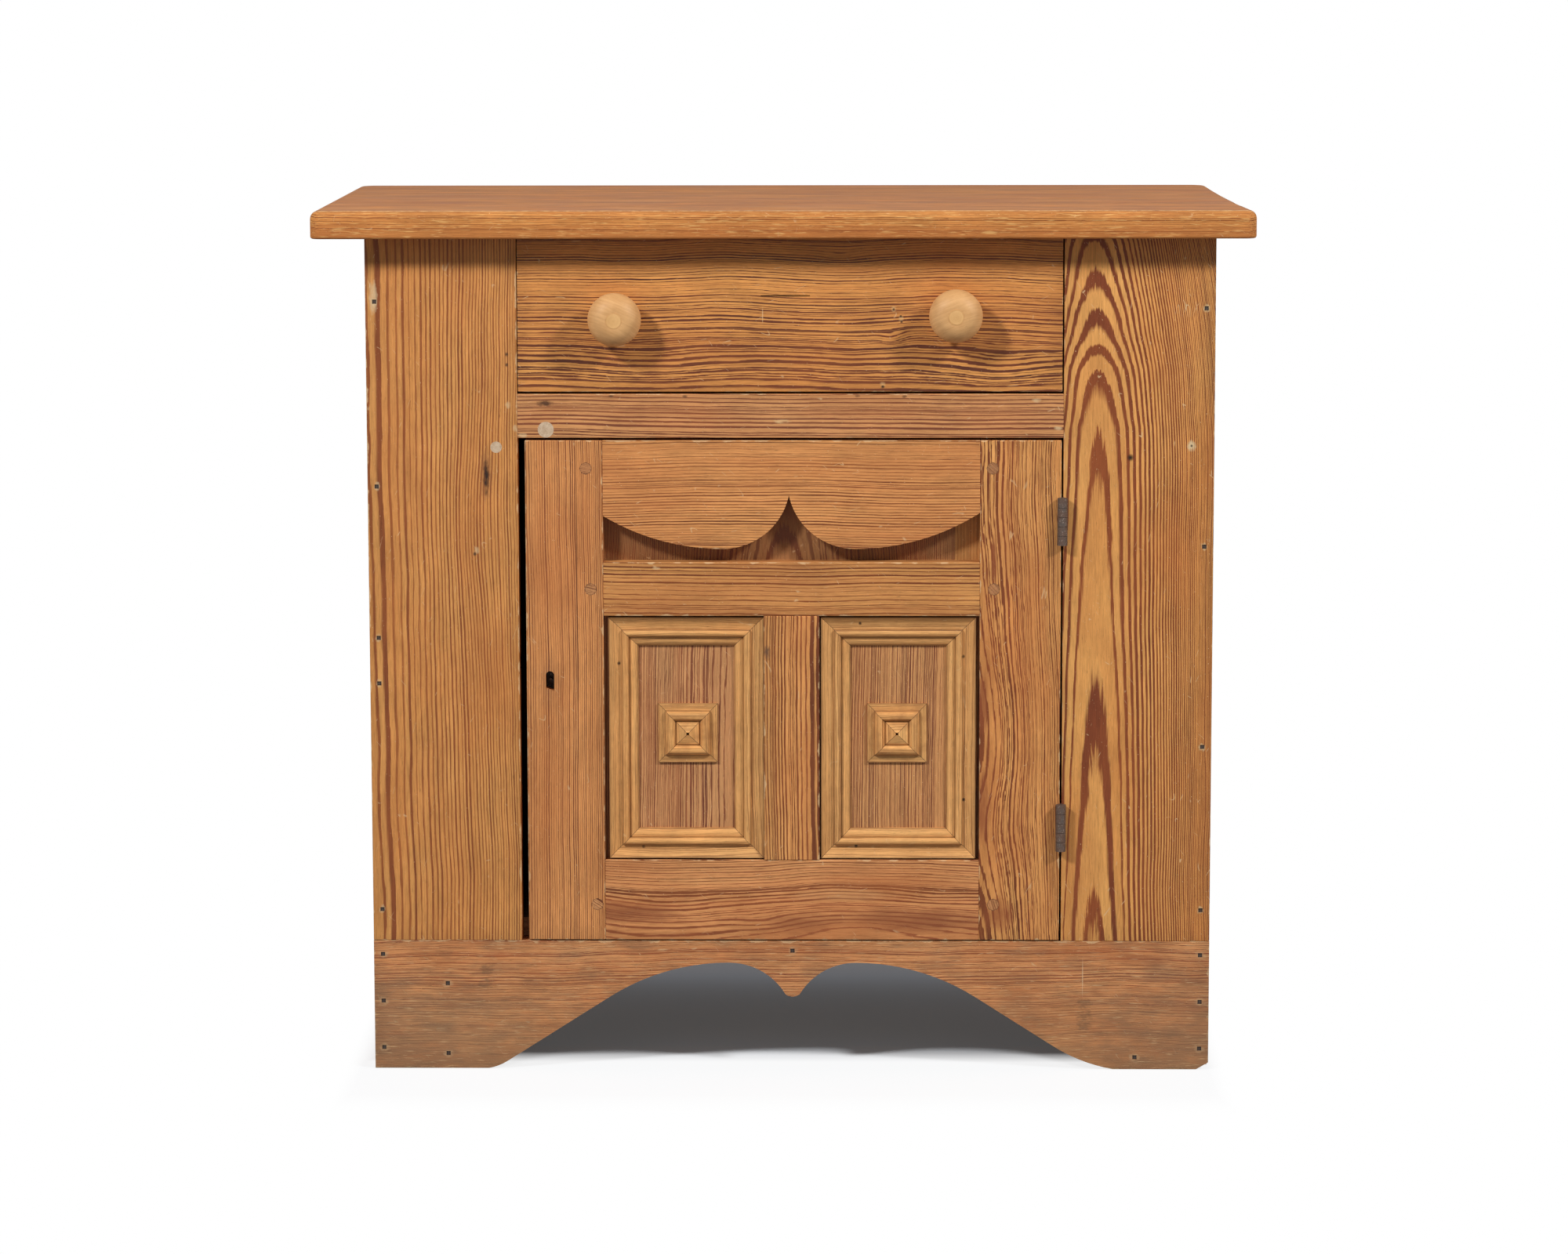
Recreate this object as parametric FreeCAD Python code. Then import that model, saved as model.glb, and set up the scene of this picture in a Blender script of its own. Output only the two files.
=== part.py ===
import FreeCAD, Part
import math
import os

# A pine cupboard with one drawer over one panelled door, on a scalloped base.
# Millimetres. +X is the cupboard's right as it is faced, +Y its back, +Z up.
# The origin is on the floor, under the middle of the whole piece.

V = FreeCAD.Vector

# Top board
top_width = 915.0
top_depth = 475.0
top_thickness = 27.0
top_upper_arris = 8.0
top_lower_arris = 2.5
top_front_corner_radius = 11.0
top_back_corner_radius = 20.0
top_right_end_taper = 16.0
top_right_end_hollow = 3.0
front_overhang = 32.0
back_overhang = 7.0
left_overhang = 50.0
right_overhang = 37.0

# Case
case_height = 826.5
side_thickness = 20.0
side_arch_radius = 92.0
back_thickness = 14.0
back_rebate_width = 10.0
back_board_count = 4
back_board_joint = 1.0
back_board_bottom = 98.0
bottom_board_thickness = 19.0
cleat_size = 20.0
foot_block_width = 70.0
foot_block_depth = 40.0
wood_arris = 0.9

# Face frame
frame_thickness = 22.0
left_stile_width = 147.5
right_stile_width = 147.0
drawer_opening_height = 153.0
drawer_rail_height = 43.3
rail_tenon_setback = 8.0
rail_tenon_thickness = 8.0
rail_tenon_length = 35.0
rail_tenon_shoulder = 8.0

# Scalloped base
base_height = 129.5
pendant_shift = 1.5
pendant_drop = 56.5
pendant_round = 2.5
crown_height = 107.4
crown_offset = 63.0
inner_crown_radius = 65.0
outer_crown_radius = 219.0
crown_slope = 32.6
toe_slope = 10.0
left_toe_radius = 50.0
right_toe_radius = 160.0
chip_width = 12.0
chip_height = 7.0

# Drawer supports
runner_thickness = 18.0
runner_lip = 10.0
runner_tongue_length = 8.0
runner_tongue_inset = 4.0
runner_clearance = 0.4
guide_width = 22.0
guide_height = 25.0
guide_clearance = 0.8
bearer_height = 40.0

# Drawer
drawer_left_gap = 0.8
drawer_right_gap = 1.5
drawer_bottom_gap = 2.0
drawer_top_gap = 1.5
drawer_back_gap = 22.0
drawer_front_thickness = 20.0
drawer_front_lap = 6.0
drawer_side_thickness = 12.0
drawer_side_step = 12.0
drawer_back_thickness = 12.0
drawer_back_inset = 10.0
drawer_back_dado = 5.0
drawer_back_step = 6.0
drawer_bottom_thickness = 8.0
drawer_bottom_rise = 10.0
drawer_groove_depth = 5.0
dovetail_count = 4
dovetail_height = 20.0
dovetail_flare = 2.4
season_check_length = 48.0
season_check_width = 0.9
season_check_depth = 4.0
season_check_rise = 18.6

# Knobs
knob_radius = 26.0
knob_length = 34.5
knob_neck_radius = 12.0
knob_neck_length = 5.0
knob_widest = 18.5
left_knob_inset = 95.5
right_knob_inset = 104.2
left_knob_rise = -2.8
right_knob_rise = 0.6
knob_back_share = 0.33
knob_front_share = 0.67
knob_round_share = 0.25
knob_plug_radius = 7.5
knob_plug_length = 6.0
knob_plug_proud = 0.3
knob_screw_length = 42.0
knob_screw_radius = 2.4
knob_screw_head_radius = 5.0

# Door
door_left_gap = 7.0
door_hinge_gap = 1.9
door_bottom_gap = 1.2
door_top_gap = 2.2
door_thickness = 23.0
door_proud = 1.2
door_stop_gap = 0.6
lock_stile_width = 76.0
hinge_stile_width = 79.4
bottom_rail_height = 80.5
lock_rail_height = 53.2
lock_rail_drop = 120.1
muntin_width = 54.7
muntin_proud = 0.6
door_tenon_setback = 8.0
door_tenon_thickness = 8.0
door_tenon_length = 50.0
door_tenon_shoulder = 10.0
muntin_tenon_length = 14.0
panel_setback = 12.0
upper_panel_setback = 19.0
panel_thickness = 7.0
groove_depth = 8.0
groove_play = 0.1
panel_end_play = 1.0
upper_strip_width = 24.0
upper_panel_lap = 8.0

# Scalloped top rail of the door
cusp_shift = -4.1
cusp_drop = 54.0
lobe_offset = 65.0
lobe_drop = 52.8
inner_lobe_radius = 66.4
outer_lobe_radius = 227.0

# Applied mouldings
moulding_width = 29.0
moulding_height = 10.0
left_moulding_gaps = (4.6, 0.3)
right_moulding_gaps = (1.6, 3.6)
moulding_end_gap = 1.6
rosette_margin = 20.3
left_rosette_shift = 3.5
right_rosette_shift = -2.3
rosette_height = 9.5
rosette_hole = 2.6
rosette_drop = 4.0

# Their profiles, inward from the outer edge, as shares of the width and the height; a step of
# two points is a curve through the first to the second
moulding_profile = [
    ((0.0, 1.0),),
    ((0.19, 0.66), (0.45, 0.55)),
    ((0.45, 0.8),),
    ((0.565, 0.92), (0.68, 0.65)),
    ((0.68, 0.45),),
    ((0.87, 0.44), (1.0, 0.15)),
    ((1.0, 0.0),),
]
rosette_profile = [
    ((0.0, 0.25),),
    ((0.25, 0.28),),
    ((0.25, 0.42),),
    ((0.31, 0.75), (0.41, 0.87)),
    ((0.5, 0.84),),
    ((0.58, 0.5),),
    ((0.605, 0.45),),
    ((0.63, 0.6),),
]

# Pegs
peg_radius = 6.2
peg_sides = 8
peg_length = 19.0
lock_peg_insets = (16.5, 12.5, 8.0)
hinge_peg_insets = (12.3, 13.8, 14.2)
top_peg_drop = 27.5
bottom_peg_drop = 4.5

# Hinges
hinge_height = 46.4
knuckle_count = 5
knuckle_gap = 0.3
barrel_radius = 5.0
barrel_clearance = 0.3
hinge_pin_radius = 1.8
hinge_pin_clearance = 0.05
hinge_pin_end = 0.4
leaf_thickness = 1.6
leaf_gap = 0.3
leaf_depth = 19.0
upper_hinge_drop = 79.3
lower_hinge_rise = 114.0
leaf_screw_spread = 15.0
leaf_screw_stagger = 3.0
leaf_screw_radius = 1.7
leaf_screw_head_radius = 3.4
leaf_screw_length = 16.0

# Lock
keyhole_inset = 22.8
keyhole_drop = 64.7
keyhole_width = 8.4
keyhole_height = 19.7
keyhole_torn = 3.0
lock_width = 48.0
lock_height = 56.0
lock_depth = 11.0
lock_plate = 1.5
lock_flange = 8.0
lock_post_radius = 1.2
bolt_height = 12.0
bolt_length = 28.0
bolt_rise = 17.0
bolt_play = 0.3
bolt_throw = 14.0
bolt_pocket_play = 1.2
lock_screw_radius = 1.5
lock_screw_head_radius = 3.0
lock_screw_length = 10.0
lock_screw_inset = 7.0

# Fasteners and fillers
nail_head = 4.2
nail_head_thickness = 1.2
nail_shank = 2.6
nail_length = 38.0
nail_sunk = 1.0
nail_inset = 9.0
left_nail_shares = (0.045, 0.37, 0.435, 0.65, 0.91)
right_nail_shares = (0.045, 0.28, 0.565, 0.9)
base_nail_count = 3
base_nail_margins = (21.0, 14.0)
block_nail_inset = 17.0
left_block_nail_heights = (15.0, 86.0)
right_block_nail_heights = (12.0,)
back_nail_length = 30.0
cleat_screw_count = 3
cleat_screw_radius = 2.2
cleat_screw_head_radius = 4.2
cleat_screw_length = 38.0
cleat_screw_margin = 50.0
screw_slot_width = 0.9
screw_slot_depth = 0.6
rail_filler_radius = 7.8
rail_filler_place = (27.7, 8.3)
stile_filler_radius = 5.6
stile_filler_place = (21.0, 8.9)
filler_depth = 9.0

# Lines that several pieces share
front_reach = max(front_overhang, knob_length + knob_plug_proud)
face = (front_reach + front_overhang - top_depth) / 2
frame_back = face + frame_thickness
case_back = face - front_overhang + top_depth - back_overhang
back_line = case_back - back_thickness
case_left = left_overhang - top_width / 2
case_right = top_width / 2 - right_overhang
case_middle = (case_left + case_right) / 2
inner_left = case_left + side_thickness
inner_right = case_right - side_thickness
open_left = case_left + left_stile_width
open_right = case_right - right_stile_width
rail_top = case_height - drawer_opening_height
rail_bottom = rail_top - drawer_rail_height
runner_bottom = rail_top - runner_thickness

drawer_left = open_left + drawer_left_gap
drawer_right = open_right - drawer_right_gap
drawer_front_back = face + drawer_front_thickness
drawer_end = back_line - drawer_back_gap
drawer_front_low = rail_top + drawer_bottom_gap
drawer_front_high = case_height - drawer_top_gap
drawer_side_low = rail_top + runner_clearance
drawer_side_high = drawer_front_high - drawer_side_step
drawer_middle = (drawer_front_low + drawer_front_high) / 2
left_knob_place = (drawer_left + left_knob_inset, drawer_middle + left_knob_rise)
right_knob_place = (drawer_right - right_knob_inset, drawer_middle + right_knob_rise)
knob_places = (left_knob_place, right_knob_place)

door_left = open_left + door_left_gap
door_right = open_right - door_hinge_gap
door_bottom = base_height + door_bottom_gap
door_top = rail_bottom - door_top_gap
door_face = face - door_proud
door_back = door_face + door_thickness
lock_joint = door_left + lock_stile_width
hinge_joint = door_right - hinge_stile_width
bottom_rail_top = door_bottom + bottom_rail_height
lock_rail_top = door_top - lock_rail_drop
lock_rail_bottom = lock_rail_top - lock_rail_height
muntin_left = (lock_joint + hinge_joint - muntin_width) / 2
muntin_right = muntin_left + muntin_width
panel_front = door_face + panel_setback
upper_panel_front = door_face + upper_panel_setback
door_tenon = (door_face + door_tenon_setback, door_face + door_tenon_setback + door_tenon_thickness)
cusp_x = (door_left + door_right) / 2 + cusp_shift
cusp_z = door_top - cusp_drop
upper_panel_top = cusp_z + upper_panel_lap

pin_x = (door_right + open_right) / 2
pin_y = door_face - barrel_radius - barrel_clearance
leaf_front = pin_y + barrel_radius + barrel_clearance
leaf_back = leaf_front + leaf_depth
upper_hinge_z = door_top - upper_hinge_drop
lower_hinge_z = door_bottom + lower_hinge_rise

keyhole_x = door_left + keyhole_inset
keyhole_z = lock_rail_bottom - keyhole_drop
lock_front = door_back - lock_depth
lock_low = keyhole_z - lock_height / 2
lock_high = keyhole_z + lock_height / 2
bolt_z = keyhole_z + bolt_rise


# Shapes that the pieces share

def board(x, y, z, arris=0.0):
    """A squared board between three (low, high) pairs, with its arrises eased."""
    box = Part.makeBox(x[1] - x[0], y[1] - y[0], z[1] - z[0], V(x[0], y[0], z[0]))
    if arris > 0:
        box = box.makeFillet(arris, box.Edges)
    return box


def span(start, length):
    """The (low, high) pair that runs from start by a signed length."""
    return tuple(sorted((start, start + length)))


def grown(pair, play):
    return (pair[0] - play, pair[1] + play)


def spread(low, high, count):
    """Even places from low to high, both ends included."""
    return [low + (high - low) * step / (count - 1) for step in range(count)]


def outline(start, steps, place):
    """Closed face from steps that are (end,) for a line and (through, end) for an arc."""
    edges = []
    here = place(*start)
    for step in steps:
        end = place(*step[-1])
        if len(step) == 1:
            edges.append(Part.LineSegment(here, end).toShape())
        else:
            edges.append(Part.Arc(here, place(*step[0]), end).toShape())
        here = end
    edges.append(Part.LineSegment(here, place(*start)).toShape())
    return Part.Face(Part.Wire(edges))


def on_circle(centre, radius, degrees):
    angle = math.radians(degrees)
    return (centre[0] + radius * math.cos(angle), centre[1] + radius * math.sin(angle))


def arc_step(centre, radius, start, end):
    """Arc step round a centre, from one angle in degrees to another."""
    return (on_circle(centre, radius, (start + end) / 2), on_circle(centre, radius, end))


def countersunk_screw(place, direction, head_radius, radius, length):
    """Flat-headed wood screw whose head is flush at place and whose shank runs along direction."""
    head_depth = head_radius - radius
    head = Part.makeCone(head_radius, radius, head_depth, place, direction)
    shank = Part.makeCylinder(radius, length - head_depth, place + direction * head_depth, direction)
    return head.fuse(shank)


def slotted(screw, place, direction, head_radius):
    """The same screw with the slot for a screwdriver cut across its head."""
    slot = Part.makeBox(2 * head_radius, screw_slot_width, 2 * screw_slot_depth)
    slot.translate(V(-head_radius, -screw_slot_width / 2, -screw_slot_depth))
    slot.Placement = FreeCAD.Placement(place, FreeCAD.Rotation(V(0, 0, 1), direction)) * slot.Placement
    return screw.cut(slot)


def cut_nail(x, y, z, into, length, sunk):
    """Square cut nail driven along Y, its head sunk below the surface at y."""
    head_y = y + into * sunk
    head = board(
        grown((x, x), nail_head / 2), span(head_y, into * nail_head_thickness), grown((z, z), nail_head / 2)
    )
    shank = board(grown((x, x), nail_shank / 2), span(head_y, into * length), grown((z, z), nail_shank / 2))
    return head.fuse(shank)


def nail_hole(x, y, z, into):
    """The empty pit between the surface and a sunk nail's head."""
    return board(grown((x, x), nail_head / 2), span(y, into * nail_sunk), grown((z, z), nail_head / 2))


# Case

def top_board():
    front = face - front_overhang
    back = front + top_depth
    half = top_width / 2
    turn = top_back_corner_radius
    cut = turn * (1 - math.sqrt(0.5))
    front_turn = top_front_corner_radius
    front_cut = front_turn * (1 - math.sqrt(0.5))
    right_back = half - top_right_end_taper
    right_hollow = ((half + right_back) / 2 - top_right_end_hollow, (front + back) / 2)
    plan = outline(
        (-half, front + front_turn),
        [
            ((-half + front_cut, front + front_cut), (-half + front_turn, front)),
            ((half - front_turn, front),),
            ((half - front_cut, front + front_cut), (half, front + front_turn)),
            (right_hollow, (right_back, back - turn)),
            ((right_back - cut, back - cut), (right_back - turn, back)),
            ((-half + turn, back),),
            ((-half + cut, back - cut), (-half, back - turn)),
        ],
        lambda x, y: V(x, y, case_height),
    )
    slab = plan.extrude(V(0, 0, top_thickness))
    upper = [edge for edge in slab.Edges if edge.BoundBox.ZMin > case_height + top_thickness / 2]
    slab = slab.makeFillet(top_upper_arris, upper)
    lower = [edge for edge in slab.Edges if edge.BoundBox.ZMax < case_height + top_lower_arris / 2]
    return slab.makeFillet(top_lower_arris, lower)


def side_board(outer, inward):
    """Side of the case, with an arched foot and a rebate for the back boards."""
    middle = (frame_back + case_back) / 2
    shape = outline(
        (frame_back, 0.0),
        [
            ((frame_back, case_height),),
            ((case_back, case_height),),
            ((case_back, 0.0),),
            ((middle + side_arch_radius, 0.0),),
            ((middle, side_arch_radius), (middle - side_arch_radius, 0.0)),
        ],
        lambda y, z: V(outer, y, z),
    )
    side = shape.extrude(V(inward * side_thickness, 0, 0))
    rebate_x = span(outer + inward * side_thickness, -inward * back_rebate_width)
    return side.cut(board(rebate_x, (back_line, case_back), (0.0, case_height)))


def left_stile():
    return board((case_left, open_left), (face, frame_back), (base_height, case_height), wood_arris)


def right_stile():
    return board((open_right, case_right), (face, frame_back), (base_height, case_height), wood_arris)


def drawer_rail_tenon():
    tenon_y = span(face + rail_tenon_setback, rail_tenon_thickness)
    tenon_z = grown((rail_bottom, rail_top), -rail_tenon_shoulder)
    return board(grown((open_left, open_right), rail_tenon_length), tenon_y, tenon_z)


def drawer_rail():
    rail = board((open_left, open_right), (face, frame_back), (rail_bottom, rail_top), wood_arris)
    return rail.fuse(drawer_rail_tenon())


def bolt_pocket():
    """Pocket in the edge of the left stile that the lock's bolt shoots into, open at the back."""
    pocket_x = (door_left - bolt_throw - bolt_pocket_play, open_left)
    pocket_y = (lock_front + lock_plate + bolt_play - bolt_pocket_play, frame_back)
    return board(pocket_x, pocket_y, grown((bolt_z, bolt_z), bolt_height / 2 + bolt_pocket_play))


def foot_curve(toward, toe_radius):
    """Steps from the crown of one arch out to the floor, and the crown's own place."""
    middle = case_middle + pendant_shift
    crown_x = middle + toward * crown_offset
    outer_centre = (crown_x, crown_height - outer_crown_radius)
    slope = math.radians(crown_slope)
    toe = math.radians(toe_slope)
    bend = on_circle(outer_centre, outer_crown_radius, 90 - toward * crown_slope)
    toe_drop = toe_radius * (math.cos(toe) - math.cos(slope))
    run = (bend[1] - toe_drop) / math.tan(slope)
    toe_start = (bend[0] + toward * run, toe_drop)
    toe_reach = toward * toe_radius * math.sin(slope)
    toe_centre = (toe_start[0] + toe_reach, toe_drop + toe_radius * math.cos(slope))
    toe_through = on_circle(toe_centre, toe_radius, 270 - toward * (crown_slope + toe_slope) / 2)
    toe_end = on_circle(toe_centre, toe_radius, 270 - toward * toe_slope)
    crown_through = on_circle(outer_centre, outer_crown_radius, 90 - toward * crown_slope / 2)
    return {
        "crown": (crown_x, crown_height),
        "crown_through": crown_through,
        "bend": bend,
        "toe_start": toe_start,
        "toe_through": toe_through,
        "toe_end": (toe_end[0], 0.0),
    }


def base_apron():
    """Front of the base: two arches that meet in a pendant, and a foot at each end."""
    middle = case_middle + pendant_shift
    left = foot_curve(-1, left_toe_radius)
    right = foot_curve(1, right_toe_radius)
    tip = base_height - pendant_drop
    shoulder = tip + pendant_round
    crown_centre_z = crown_height - inner_crown_radius
    left_centre = (middle - crown_offset, crown_centre_z)
    right_centre = (middle + crown_offset, crown_centre_z)
    fall = math.degrees(math.asin((shoulder - crown_centre_z) / inner_crown_radius))
    left_shoulder = on_circle(left_centre, inner_crown_radius, fall)
    right_shoulder = on_circle(right_centre, inner_crown_radius, 180 - fall)
    shape = outline(
        (case_left, 0.0),
        [
            ((case_left, base_height),),
            ((case_right, base_height),),
            ((case_right, chip_height),),
            ((case_right - chip_width, 0.0),),
            (right["toe_end"],),
            (right["toe_through"], right["toe_start"]),
            (right["bend"],),
            (right["crown_through"], right["crown"]),
            (on_circle(right_centre, inner_crown_radius, (270 - fall) / 2), right_shoulder),
            ((middle, tip), left_shoulder),
            (on_circle(left_centre, inner_crown_radius, (90 + fall) / 2), left["crown"]),
            (left["crown_through"], left["bend"]),
            (left["toe_start"],),
            (left["toe_through"], left["toe_end"]),
        ],
        lambda x, z: V(x, face, z),
    )
    return shape.extrude(V(0, frame_thickness, 0))


def bottom_board():
    y = (door_back + door_stop_gap, back_line)
    return board((inner_left, inner_right), y, span(base_height, bottom_board_thickness), wood_arris)


def back_boards():
    left = inner_left - back_rebate_width
    right = inner_right + back_rebate_width
    pitch = (right - left + back_board_joint) / back_board_count
    boards = []
    for place in range(back_board_count):
        x = span(left + place * pitch, pitch - back_board_joint)
        boards.append(board(x, (back_line, case_back), (back_board_bottom, case_height), wood_arris))
    return boards


def bottom_cleat(side_face, inward):
    y = (frame_back + cleat_size, back_line)
    return board(span(side_face, inward * cleat_size), y, (base_height - cleat_size, base_height))


def front_bottom_cleat():
    return board(
        (inner_left, inner_right), span(frame_back, cleat_size), (base_height - cleat_size, base_height)
    )


def foot_blocks():
    z = (0.0, base_height - cleat_size)
    y = span(frame_back, foot_block_depth)
    left = board(span(inner_left, foot_block_width), y, z)
    right = board(span(inner_right, -foot_block_width), y, z)
    return Part.makeCompound([left, right])


def top_cleat(side_face, inward):
    z = (case_height - cleat_size, case_height)
    return board(span(side_face, inward * cleat_size), (frame_back, back_line), z)


def runner_tongue(drawer_edge, inward):
    x = grown(span(drawer_edge, inward * (drawer_side_thickness + runner_lip)), -runner_tongue_inset)
    y = (frame_back - runner_tongue_length, frame_back)
    return board(x, y, grown((runner_bottom, rail_top), -runner_tongue_inset))


def runner(drawer_edge, inward):
    """Bearing strip under one drawer side, with a tongue that enters the drawer rail."""
    outside = guide_clearance + guide_width
    width = outside + drawer_side_thickness + runner_lip
    x = span(drawer_edge - inward * outside, inward * width)
    strip = board(x, (frame_back, back_line), (runner_bottom, rail_top))
    return strip.fuse(runner_tongue(drawer_edge, inward))


def guide(drawer_edge, inward):
    x = span(drawer_edge - inward * guide_clearance, -inward * guide_width)
    return board(x, (frame_back, back_line), span(rail_top, guide_height))


def runner_bearer():
    z = span(runner_bottom, -bearer_height)
    return board((inner_left, inner_right), span(back_line, -cleat_size), z)


def filler_plugs(depth=filler_depth):
    rail_plug = Part.makeCylinder(
        rail_filler_radius,
        depth,
        V(open_left + rail_filler_place[0], face, rail_bottom + rail_filler_place[1]),
        V(0, 1, 0),
    )
    stile_plug = Part.makeCylinder(
        stile_filler_radius,
        depth,
        V(open_left - stile_filler_place[0], face, rail_bottom - stile_filler_place[1]),
        V(0, 1, 0),
    )
    return Part.makeCompound([rail_plug, stile_plug])


def nail_places():
    """Every case nail as (x, y of the surface, z, direction along Y, length)."""
    places = []
    base_zs = spread(base_nail_margins[0], base_height - base_nail_margins[1], base_nail_count)
    edges = (
        (case_left + nail_inset, left_nail_shares),
        (case_right - nail_inset, right_nail_shares),
    )
    for x, shares in edges:
        stile_zs = [base_height + share * (case_height - base_height) for share in shares]
        places += [(x, face, z, 1, nail_length) for z in stile_zs + base_zs]
    blocks = (
        (inner_left + foot_block_width - block_nail_inset, left_block_nail_heights),
        (inner_right - foot_block_width + block_nail_inset, right_block_nail_heights),
    )
    for x, zs in blocks:
        places += [(x, face, z, 1, nail_length) for z in zs]
    cleat_z = base_height - cleat_size / 2
    places.append((case_middle + pendant_shift, face, cleat_z, 1, nail_length))
    for back in back_boards():
        box = back.BoundBox
        for x in (box.XMin + nail_inset + back_rebate_width, box.XMax - nail_inset - back_rebate_width):
            for z in (base_height + bottom_board_thickness / 2, runner_bottom - bearer_height / 2):
                places.append((x, case_back, z, -1, back_nail_length))
    return places


def cleat_screw_places():
    ys = spread(frame_back + cleat_screw_margin, back_line - cleat_screw_margin, cleat_screw_count)
    xs = (inner_left + cleat_size / 2, inner_right - cleat_size / 2)
    return [V(x, y, case_height - cleat_size) for x in xs for y in ys]


# Drawer

def dovetails(outer, inward):
    """The tails at the front end of one drawer side."""
    x = span(outer, inward * drawer_side_thickness)
    pitch = (drawer_side_high - drawer_side_low) / dovetail_count
    tails = []
    for tail in range(dovetail_count):
        middle = drawer_side_low + pitch * (tail + 1 / 2)
        narrow = dovetail_height / 2
        wide = narrow + dovetail_flare
        tip = face + drawer_front_lap
        shape = outline(
            (drawer_front_back, middle - narrow),
            [
                ((tip, middle - wide),),
                ((tip, middle + wide),),
                ((drawer_front_back, middle + narrow),),
            ],
            lambda y, z: V(x[0], y, z),
        )
        tails.append(shape.extrude(V(drawer_side_thickness, 0, 0)))
    return tails


def drawer_side(outer, inward):
    """Drawer side with the tails that lock it into the drawer front."""
    x = span(outer, inward * drawer_side_thickness)
    side = board(x, (drawer_front_back, drawer_end), (drawer_side_low, drawer_side_high))
    return side.fuse(dovetails(outer, inward)).removeSplitter()


def drawer_front():
    front = board(
        (drawer_left, drawer_right),
        (face, drawer_front_back),
        (drawer_front_low, drawer_front_high),
        wood_arris,
    )
    check_middle = (left_knob_place[0] + right_knob_place[0]) / 2
    check_x = grown((check_middle, check_middle), season_check_length / 2)
    check_z = span(drawer_middle + season_check_rise, season_check_width)
    return front.cut(board(check_x, span(face, season_check_depth), check_z))


def drawer_bottom_span():
    inner = (drawer_left + drawer_side_thickness, drawer_right - drawer_side_thickness)
    x = grown(inner, drawer_groove_depth)
    y = (drawer_front_back - drawer_groove_depth, drawer_end)
    z = span(drawer_side_low + drawer_bottom_rise, drawer_bottom_thickness)
    return x, y, z


def drawer_bottom():
    return board(*drawer_bottom_span())


def drawer_back():
    inner = (drawer_left + drawer_side_thickness, drawer_right - drawer_side_thickness)
    y = span(drawer_end - drawer_back_inset, -drawer_back_thickness)
    low = drawer_side_low + drawer_bottom_rise + drawer_bottom_thickness
    return board(grown(inner, drawer_back_dado), y, (low, drawer_side_high - drawer_back_step))


def knob(place):
    """Turned knob: a short neck that swells into a flattened ball, bored for its screw and plug."""
    x, z = place
    shoulder = (knob_radius + knob_neck_radius) / 2
    back_swell = knob_neck_length + (knob_widest - knob_neck_length) * knob_back_share
    front_swell = knob_widest + (knob_length - knob_widest) * knob_front_share
    front_round = knob_radius - (knob_radius - knob_plug_radius) * knob_round_share
    section = outline(
        (0.0, 0.0),
        [
            ((knob_neck_radius, 0.0),),
            ((knob_neck_radius, knob_neck_length),),
            ((shoulder + knob_neck_length / 2, back_swell), (knob_radius, knob_widest)),
            ((front_round, front_swell), (knob_plug_radius, knob_length)),
            ((0.0, knob_length),),
        ],
        lambda radius, out: V(x + radius, face - out, z),
    )
    body = section.revolve(V(x, face, z), V(0, 1, 0), 360)
    pocket = Part.makeCylinder(knob_plug_radius, knob_plug_length, V(x, face - knob_length, z), V(0, 1, 0))
    return body.cut(pocket)


def knob_plugs():
    length = knob_plug_length + knob_plug_proud
    places = [V(x, face - knob_length - knob_plug_proud, z) for x, z in knob_places]
    return Part.makeCompound([Part.makeCylinder(knob_plug_radius, length, p, V(0, 1, 0)) for p in places])


def knob_screw_places():
    return [V(x, face - knob_length + knob_plug_length, z) for x, z in knob_places]


# Door

def door_stile(x):
    return board(x, (door_face, door_back), (door_bottom, door_top), wood_arris)


def door_rail_tenons():
    """The tenon that runs through each door rail, by the rail's name."""
    heights = {
        "top_rail": (upper_panel_top + panel_end_play, door_top - door_tenon_shoulder),
        "lock_rail": grown((lock_rail_bottom, lock_rail_top), -door_tenon_shoulder),
        "bottom_rail": grown((door_bottom, bottom_rail_top), -door_tenon_shoulder),
    }
    x = grown((lock_joint, hinge_joint), door_tenon_length)
    return {name: board(x, door_tenon, z) for name, z in heights.items()}


def bottom_rail():
    z = (door_bottom, bottom_rail_top)
    rail = board((lock_joint, hinge_joint), (door_face, door_back), z, wood_arris)
    return rail.fuse(door_rail_tenons()["bottom_rail"])


def lock_rail():
    z = (lock_rail_bottom, lock_rail_top)
    rail = board((lock_joint, hinge_joint), (door_face, door_back), z, wood_arris)
    return rail.fuse(door_rail_tenons()["lock_rail"])


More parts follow.
